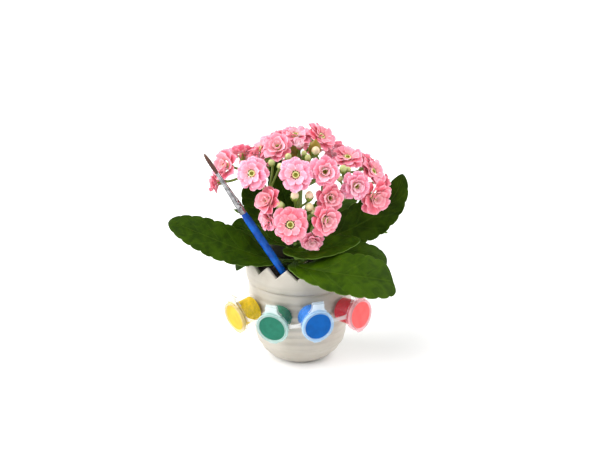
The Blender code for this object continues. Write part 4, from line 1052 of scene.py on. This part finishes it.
def make_brush():
    """The brush's three pieces as turned rings on one line, and a tuft of seeded hairs.

    A hair starts at a spot of the ferrule's mouth and leans in, so that the tuft closes to a point.
    """
    length = np.linalg.norm(BRUSH_TIP - BRUSH_END)
    axes = bloom_axes(unit(BRUSH_TIP - BRUSH_END))
    root = length - BRISTLE_LENGTH
    neck = root - FERRULE_LENGTH

    def turned_piece(name, profile, rounding, finish, node):
        skin = Skin()
        points, sides, caps = capped(turned(rounded(profile, rounding, 0.3), 40))
        skin.add(local(points, axes, BRUSH_END), sides, caps)
        make(name, skin, [finish], replaced=[node], sharp=60.0)

    turned_piece("handle_blue", [
        (0.2, 0.0), (1.2, 0.1), (1.9, 0.05 * neck), (2.3, 0.3 * neck), (2.45, 0.7 * neck),
        (2.4, 0.93 * neck), (2.05, neck - 1.5), (1.95, neck + 0.8), (0.2, neck + 0.8),
    ], 0.6, handle_finish(), "brush_handle")
    crimp = neck + 4.5
    turned_piece("ferrule_tube", [
        (1.9, neck + 0.9), (2.0, neck - 0.1), (2.3, neck - 0.1), (2.34, crimp), (2.12, crimp + 0.5),
        (2.12, crimp + 1.1), (2.32, crimp + 1.6), (2.28, crimp + 2.8), (2.08, crimp + 3.3),
        (2.08, crimp + 3.9), (2.24, crimp + 4.4), (1.9, neck + 11.0), (1.45, root - 8.0),
        (1.3, root), (1.12, root), (1.1, root - 1.6), (0.1, root - 1.6),
    ], 0.22, ferrule_finish(), "brush_ferrule")
    random = np.random.default_rng(11)
    skin = Skin()
    t = np.linspace(0, 1, 9)
    core = [(1.0, root - 1.4), (1.12, root + 2.0), (1.1, root + 9.0), (0.8, root + 12.5), (0.3, length - 1.0)]
    points, sides, caps = capped(turned(core, 16))
    skin.add(local(points, axes, BRUSH_END), sides, caps, shade=0.1, along=0.3)
    for _ in range(HAIRS):
        away, turn = 1.02 * math.sqrt(random.uniform(0.35, 1)), random.uniform(0, 2 * np.pi)
        reach = (length - random.uniform(0.0, 1.6)) - root
        swell = np.interp(t, [0, 0.3, 0.7, 0.9, 1.0], [1.0, 1.3, 1.25, 0.95, 0.6])
        drift = random.uniform(-0.5, 0.5) * t
        path = np.stack([
            away * swell * np.cos(turn + drift), away * swell * np.sin(turn + drift), root - 1.2 + (reach + 1.2) * t,
        ], axis=1)
        points, sides, caps = capped(tube(path, np.interp(t, [0, 0.7, 1], [0.075, 0.07, 0.02]), 4))
        skin.add(local(points, axes, BRUSH_END), sides, caps, shade=random.uniform(0, 1),
                 along=with_ends(t[:, None] + np.zeros(4)))
    make("brush_tuft", skin, [bristle_finish()], replaced=["brush_bristles"], sharp=80.0)


def cup_axes(azimuth, droop):
    """The cup's x, y and z axes as rows: across, up towards the hinge, and out of the cup."""
    out = azimuth_vector(azimuth, -droop)
    across = unit(np.cross((0.0, 0.0, 1.0), out))
    return np.stack([across, np.cross(out, across), out])


def cup_centres():
    """Centre of each cup's flat back, worked out from its lid's hinge in the frame."""
    hinge = np.array([0.0, HINGE_HEIGHT, CUP_LENGTH + LID_GAP / 2])
    joints = {joint["name"]: np.array(joint["pos_m"]) / MM for joint in frame["joints"]}
    return {
        name: joints[f"lid_{name}_hinge"] - hinge @ cup_axes(azimuth, droop)
        for name, (azimuth, droop, *_) in CUPS.items()
    }


def plate(outline, low, high, rounding):
    """Rings of a flat plate from an outline and two levels, drawn in towards its middle at both faces."""
    outline = np.asarray(outline, float)
    middle = (outline.max(axis=0) + outline.min(axis=0)) / 2
    inward = unit(middle - outline)
    levels = [low, low + rounding * 0.3, low + rounding, high - rounding, high - rounding * 0.3, high]
    insets = [rounding, rounding * 0.3, 0.0, 0.0, rounding * 0.3, rounding]
    return np.array([
        np.column_stack([outline + inward * inset, np.full(len(outline), level)])
        for level, inset in zip(levels, insets)])


def strap_plate(root, level):
    """Half of a hinge strap: a plate that flares out where it joins the flange or the lid."""
    half = STRAP_WIDTH / 2
    flare = half + 2.4 * np.array([1.0, 0.6, 0.3, 0.1, 0.0])
    height = root + np.array([0.0, 0.7, 1.4, 2.2, 3.2])
    side = [*zip(flare, height), (half, STRAP_TOP - 0.4), (half - 0.4, STRAP_TOP)]
    return plate(side + [(-x, y) for x, y in reversed(side)], level, level + STRAP_THICKNESS, 0.2)


def union(name, solids):
    """The mesh of a Boolean union of closed ring solids, in metres."""
    pieces = []
    for number, rings in enumerate(solids):
        points, sides, caps = capped(rings)
        mesh = bpy.data.meshes.new(f"{name}_{number}")
        mesh.from_pydata((points * MM).tolist(), [], sides.tolist() + caps.tolist())
        work = bmesh.new()
        work.from_mesh(mesh)
        bmesh.ops.recalc_face_normals(work, faces=work.faces)
        work.to_mesh(mesh)
        work.free()
        piece = bpy.data.objects.new(mesh.name, mesh)
        bpy.context.scene.collection.objects.link(piece)
        pieces.append(piece)
    group = bpy.data.collections.new(name + "_parts")
    for piece in pieces[1:]:
        group.objects.link(piece)
    joining = pieces[0].modifiers.new("union", "BOOLEAN")
    joining.operation = "UNION"
    joining.solver = "EXACT"
    joining.operand_type = "COLLECTION"
    joining.collection = group
    bpy.context.view_layer.update()
    mesh = bpy.data.meshes.new_from_object(pieces[0].evaluated_get(bpy.context.evaluated_depsgraph_get()))
    for piece in pieces:
        bpy.data.objects.remove(piece, do_unlink=True)
    bpy.data.collections.remove(group)
    return mesh


def mesh_points(mesh):
    """A mesh's points in millimetres."""
    points = np.empty(len(mesh.vertices) * 3, np.float32)
    mesh.vertices.foreach_get("co", points)
    return points.reshape(-1, 3) / MM


def set_colour(mesh, name, colours):
    """Stores a colour at each point of a mesh."""
    attribute = mesh.attributes.new(name, "FLOAT_COLOR", "POINT")
    attribute.data.foreach_set("color", np.concatenate([colours, np.ones((len(colours), 1))], axis=1).ravel())


def set_value(mesh, name, values):
    """Stores a number at each point of a mesh."""
    mesh.attributes.new(name, "FLOAT", "POINT").data.foreach_set("value", np.asarray(values, np.float32))


def cup_finish():
    """Milky moulded plastic, tinted by the paint behind it and clearer over the cups' walls."""
    finish = Finish("cup_plastic")
    cloud = finish.noise(4.0, 2.0)
    colour = finish.mix(cloud.clipped(0.3, 0.75) * 0.12, finish.colour("tint"), (0.93, 0.95, 0.97))
    return finish.surface(
        Base_Color=colour, Roughness=0.2 + cloud * 0.1, Alpha=finish.value("body") * 0.75,
        Specular_IOR_Level=0.3, Normal=finish.bump(cloud, 0.04))


def lid_finish(name, face, tint):
    """A lid: the paint's colour shows through its thin face, and its rim and strap stay milky."""
    finish = Finish(f"lid_plastic_{name}")
    radius = finish.value("radius")
    cloud = finish.noise(5.0, 2.0)
    deeper = tuple(0.82 * channel for channel in face)
    stained = finish.mix(cloud.clipped(0.35, 0.7), face, deeper)
    milky = finish.mix(cloud.clipped(0.3, 0.75) * 0.25, tint, (0.90, 0.93, 0.96))
    milky = finish.mix(radius.clipped(10.8, 12.0) * 0.6, milky, (0.86, 0.90, 0.93))
    rim = radius.clipped(8.3, 9.1)
    return finish.surface(
        Base_Color=finish.mix(rim, stained, milky), Roughness=0.26 + cloud * 0.08,
        Alpha=1.0 - rim * 0.4, Specular_IOR_Level=0.1, Normal=finish.bump(cloud, 0.05))


def paint_finish(name, paint):
    """Poster paint: satin, with a slight skin."""
    finish = Finish(f"poster_paint_{name}")
    skin = finish.noise(1.8, 2.0)
    darker = tuple(0.75 * channel for channel in paint)
    return finish.surface(
        Base_Color=finish.mix(skin.clipped(0.35, 0.7), paint, darker), Roughness=0.3 + skin * 0.1,
        Specular_IOR_Level=0.2, Normal=finish.bump(skin, 0.1))


def make_cups():
    """The strip of four cups, the paint in them, the lids and the folded hinges between.

    Everything is worked out in a cup's own frame and carried to its place: the cups, lids and paint
    are turned profiles, the straps and tabs are slabs, and each web is a flat tube between flanges.
    """
    centres = cup_centres()
    face = CUP_LENGTH
    solids, seats = [], {}
    for name, (azimuth, droop, *_) in CUPS.items():
        axes, centre = cup_axes(azimuth, droop), centres[name]
        seats[name] = (axes, centre)
        shell = rounded([
            (0.05, 0.0), (CUP_BACK_RADIUS, 0.0), (CUP_FRONT_RADIUS, face - FLANGE_THICKNESS),
            (FLANGE_RADIUS, face - FLANGE_THICKNESS), (FLANGE_RADIUS, face), (CUP_BORE, face),
            (CUP_BORE, CUP_FLOOR), (0.05, CUP_FLOOR),
        ], 0.3, 0.3)
        solids.append(local(turned(shell, CUP_SIDES), axes, centre))
        level = face - FLANGE_THICKNESS + 0.1
        solids.append(local(strap_plate(FLANGE_RADIUS - 1.1, level), axes, centre))
    names = list(CUPS)
    for near, far in zip(names, names[1:]):
        solids.append(web(*seats[near], *seats[far]))
    mesh = union("paint_strip", solids)
    points = mesh_points(mesh)
    tint = np.full((len(points), 3), 0.80)
    body = np.full(len(points), 0.42)
    for name, (*_, hue) in CUPS.items():
        axes, centre = seats[name]
        own = (points - centre) @ axes.T
        away = np.hypot(own[:, 0], own[:, 1])
        near = (away < FLANGE_RADIUS + 0.4) & (own[:, 2] > -1) & (own[:, 2] < face + 1)
        wall = near & (away < CUP_FRONT_RADIUS + 0.2) & (own[:, 2] < face - FLANGE_THICKNESS + 0.2)
        tint[near] = hue
        body[wall] = 0.07
    set_colour(mesh, "tint", tint)
    set_value(mesh, "body", body)
    finished("paint_cup_strip", mesh, [cup_finish()], "root", ["paint_strip"], 40.0)
    plastic = cup_finish()
    for name, (_, _, paint, face_colour, tint) in CUPS.items():
        axes, centre = seats[name]
        make_lid(name, axes, centre, lid_finish(name, face_colour, tint))
        make_fold(name, axes, centre, tint, plastic)
        level = face - PLUG_DEPTH - 0.45
        fill = rounded([
            (0.05, CUP_FLOOR + 0.1), (PAINT_RADIUS, CUP_FLOOR + 0.1), (PAINT_RADIUS + 0.15, level),
            (PAINT_RADIUS - 0.9, level - 0.25), (0.05, level - 0.3),
        ], 0.25, 0.3)
        skin = Skin()
        skin.add(*capped(local(turned(fill, CUP_SIDES), axes, centre)))
        make(f"paint_fill_{name}", skin, [paint_finish(name, paint)], replaced=[f"paint_{name}"])


def web(axes_a, centre_a, axes_b, centre_b):
    """Rings of the flat bar between two neighbouring flanges, its ends sunk into them."""
    middle = CUP_LENGTH - FLANGE_THICKNESS / 2
    inset = FLANGE_RADIUS - 1.6
    start = local(np.array([inset, WEB_RAISE, middle]), axes_a, centre_a)
    end = local(np.array([-inset, WEB_RAISE, middle]), axes_b, centre_b)
    reach = np.linalg.norm(end - start) * 0.35
    t = np.linspace(0, 1, 16)
    path = bezier(start, start + axes_a[0] * reach, end - axes_b[0] * reach, end, t)
    up = unit((1 - t[:, None]) * axes_a[1] + t[:, None] * axes_b[1])
    out = unit((1 - t[:, None]) * axes_a[2] + t[:, None] * axes_b[2])
    turn = np.radians(np.arange(0, 360, 22.5))
    wide = (WEB_WIDTH + WEB_FLARE * (2 * t - 1) ** 4)[:, None, None] / 2
    flat = np.sign(np.cos(turn)) * np.abs(np.cos(turn)) ** 0.4
    thick = np.sign(np.sin(turn)) * np.abs(np.sin(turn)) ** 0.6 * WEB_THICKNESS / 2
    return path[:, None] + up[:, None] * flat[:, None] * wide + out[:, None] * thick[:, None]


def make_lid(name, axes, centre, finish):
    """A lid: a turned disc with two ridges round a sunken face and a plug, its strap and its tab."""
    low = CUP_LENGTH + LID_GAP
    high = low + LID_THICKNESS
    floor = high - LID_RECESS
    edge, recess = LID_RADIUS, LID_RECESS_RADIUS
    disc = rounded([
        (0.05, low - PLUG_DEPTH), (PLUG_RADIUS - 0.2, low - PLUG_DEPTH), (PLUG_RADIUS, low), (edge, low),
        (edge, high - 0.35), (edge - 0.3, high), (edge - 0.65, high), (edge - 0.85, high - 0.35),
        (recess + 0.55, high - 0.35), (recess + 0.4, high), (recess + 0.15, high), (recess - 0.2, floor),
        (recess * 0.6, floor - 0.12), (0.05, floor - 0.15),
    ], 0.16, 0.16)
    level = low + 0.1
    half, tip = TAB_WIDTH / 2, -TAB_REACH
    tab = plate([
        (half, 1.0 - edge), (half, tip + 0.8), (half - 0.3, tip + 0.2), (half - 1.0, tip),
        (1.0 - half, tip), (0.3 - half, tip + 0.2), (-half, tip + 0.8), (-half, 1.0 - edge),
    ], level, level + TAB_THICKNESS, 0.2)
    solids = (turned(disc, CUP_SIDES), strap_plate(edge - 1.1, level), tab)
    mesh = union(f"lid_{name}", [local(rings, axes, centre) for rings in solids])
    own = (mesh_points(mesh) - centre) @ axes.T
    set_value(mesh, "radius", np.hypot(own[:, 0], own[:, 1]))
    finished(f"snap_lid_{name}", mesh, [finish], f"lid_{name}", [f"lid_{name}"], 40.0)


def make_fold(name, axes, centre, tint, finish):
    """The thin film that folds between the cup's strap and the lid's: a half circle of even width."""
    low = CUP_LENGTH - FLANGE_THICKNESS + 0.1 + STRAP_THICKNESS / 2
    high = CUP_LENGTH + LID_GAP + 0.1 + STRAP_THICKNESS / 2
    radius = (high - low) / 2
    turn = np.radians(np.linspace(-90, 90, 19))
    spine = np.stack([0 * turn, STRAP_TOP - 0.1 + radius * np.cos(turn), (low + high) / 2 + radius * np.sin(turn)], axis=1)
    spine = np.concatenate([spine[:1] - (0, 0.5, 0), spine, spine[-1:] - (0, 0.5, 0)])
    normal = np.concatenate([[-90], np.linspace(-90, 90, 19), [90]])
    normal = np.stack([0 * normal, np.cos(np.radians(normal)), np.sin(np.radians(normal))], axis=1)
    corner = np.array([(-1, -1), (-0.5, -1), (0, -1), (0.5, -1), (1, -1), (1, 1), (0.5, 1), (0, 1), (-0.5, 1), (-1, 1)])
    rings = spine[:, None] + corner[:, :1] * np.array([STRAP_WIDTH / 2 - 0.25, 0, 0])
    rings = rings + corner[:, 1:] * normal[:, None] * 0.2
    skin = Skin()
    skin.add(*capped(local(rings, axes, centre)), body=0.5)
    fold = make(f"hinge_film_{name}", skin, [finish], body=None, sharp=60.0)
    set_colour(fold.data, "tint", np.tile(0.5 * np.array(tint) + 0.45, (len(fold.data.vertices), 1)))
    start = local(np.array([0.0, STRAP_TOP, low + 0.15]), axes, centre) * MM
    end = local(np.array([0.0, STRAP_TOP, high - 0.15]), axes, centre) * MM
    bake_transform(fold)


def point_at(item, place, target=(0.0, 0.0, 0.0)):
    """Puts a lamp at a place in metres and turns it to a target."""
    item.location = place
    way = np.array(target) - np.array(place)
    item.rotation_euler = (
        math.acos(-way[2] / np.linalg.norm(way)), 0.0, math.atan2(way[1], way[0]) - math.pi / 2)


def make_stage():
    """White studio: a pale floor, a white surround, a soft key from the left and a weak one opposite."""
    mesh = bpy.data.meshes.new("floor")
    reach = 6.0
    corners = [(-reach, -reach, 0), (reach, -reach, 0), (reach, reach, 0), (-reach, reach, 0)]
    mesh.from_pydata(corners, [], [(0, 1, 2, 3)])
    floor = bpy.data.objects.new("floor", mesh)
    bpy.context.scene.collection.objects.link(floor)
    finish = Finish("floor_white")
    mesh.materials.append(finish.surface(Base_Color=(0.96, 0.96, 0.96), Roughness=0.9, Specular_IOR_Level=0.1))
    world = bpy.data.worlds.new("studio")
    world.use_nodes = True
    world.node_tree.nodes["Background"].inputs["Color"].default_value = (1.0, 1.0, 1.0, 1.0)
    world.node_tree.nodes["Background"].inputs["Strength"].default_value = WORLD_STRENGTH
    bpy.context.scene.world = world
    for name, (strength, angle, azimuth, elevation) in SUNS.items():
        sun = bpy.data.lights.new(name, "SUN")
        sun.energy = strength
        sun.angle = math.radians(angle)
        lamp = bpy.data.objects.new(name, sun)
        bpy.context.scene.collection.objects.link(lamp)
        point_at(lamp, azimuth_vector(azimuth, elevation) * 2.0)
    bpy.context.scene.view_settings.view_transform = "Standard"


def make_camera():
    """The photo's camera: a long lens that looks down on the pot from the front."""
    data = bpy.data.cameras.new("camera")
    data.sensor_width = SENSOR_WIDTH
    data.lens = SENSOR_WIDTH * CAMERA_FOCAL_PIXELS / IMAGE_WIDTH
    data.clip_start = 0.01
    camera = bpy.data.objects.new("camera", data)
    bpy.context.scene.collection.objects.link(camera)
    rise = math.radians(CAMERA_ELEVATION)
    camera.location = np.array([
        CAMERA_SIDESTEP,
        -CAMERA_DISTANCE * math.cos(rise),
        CAMERA_TARGET + CAMERA_DISTANCE * math.sin(rise),
    ]) * MM
    camera.rotation_euler = (math.pi / 2 - rise, 0.0, 0.0)
    bpy.context.scene.camera = camera


def main():
    """Builds the stage, the camera and every piece."""
    make_camera()
    make_stage()
    make_pot()
    make_soil()
    leaf_skin = leaf_finish()
    for leaf in LEAVES:
        make_leaf(leaf, leaf_skin)
    make_stems()
    finishes = [petal_finish("petal_face", False), petal_finish("petal_back", True), heart_finish()]
    for seed, bloom in enumerate(BLOOMS):
        make_bloom(bloom, finishes, seed)
    make_brush()
    make_cups()


main()
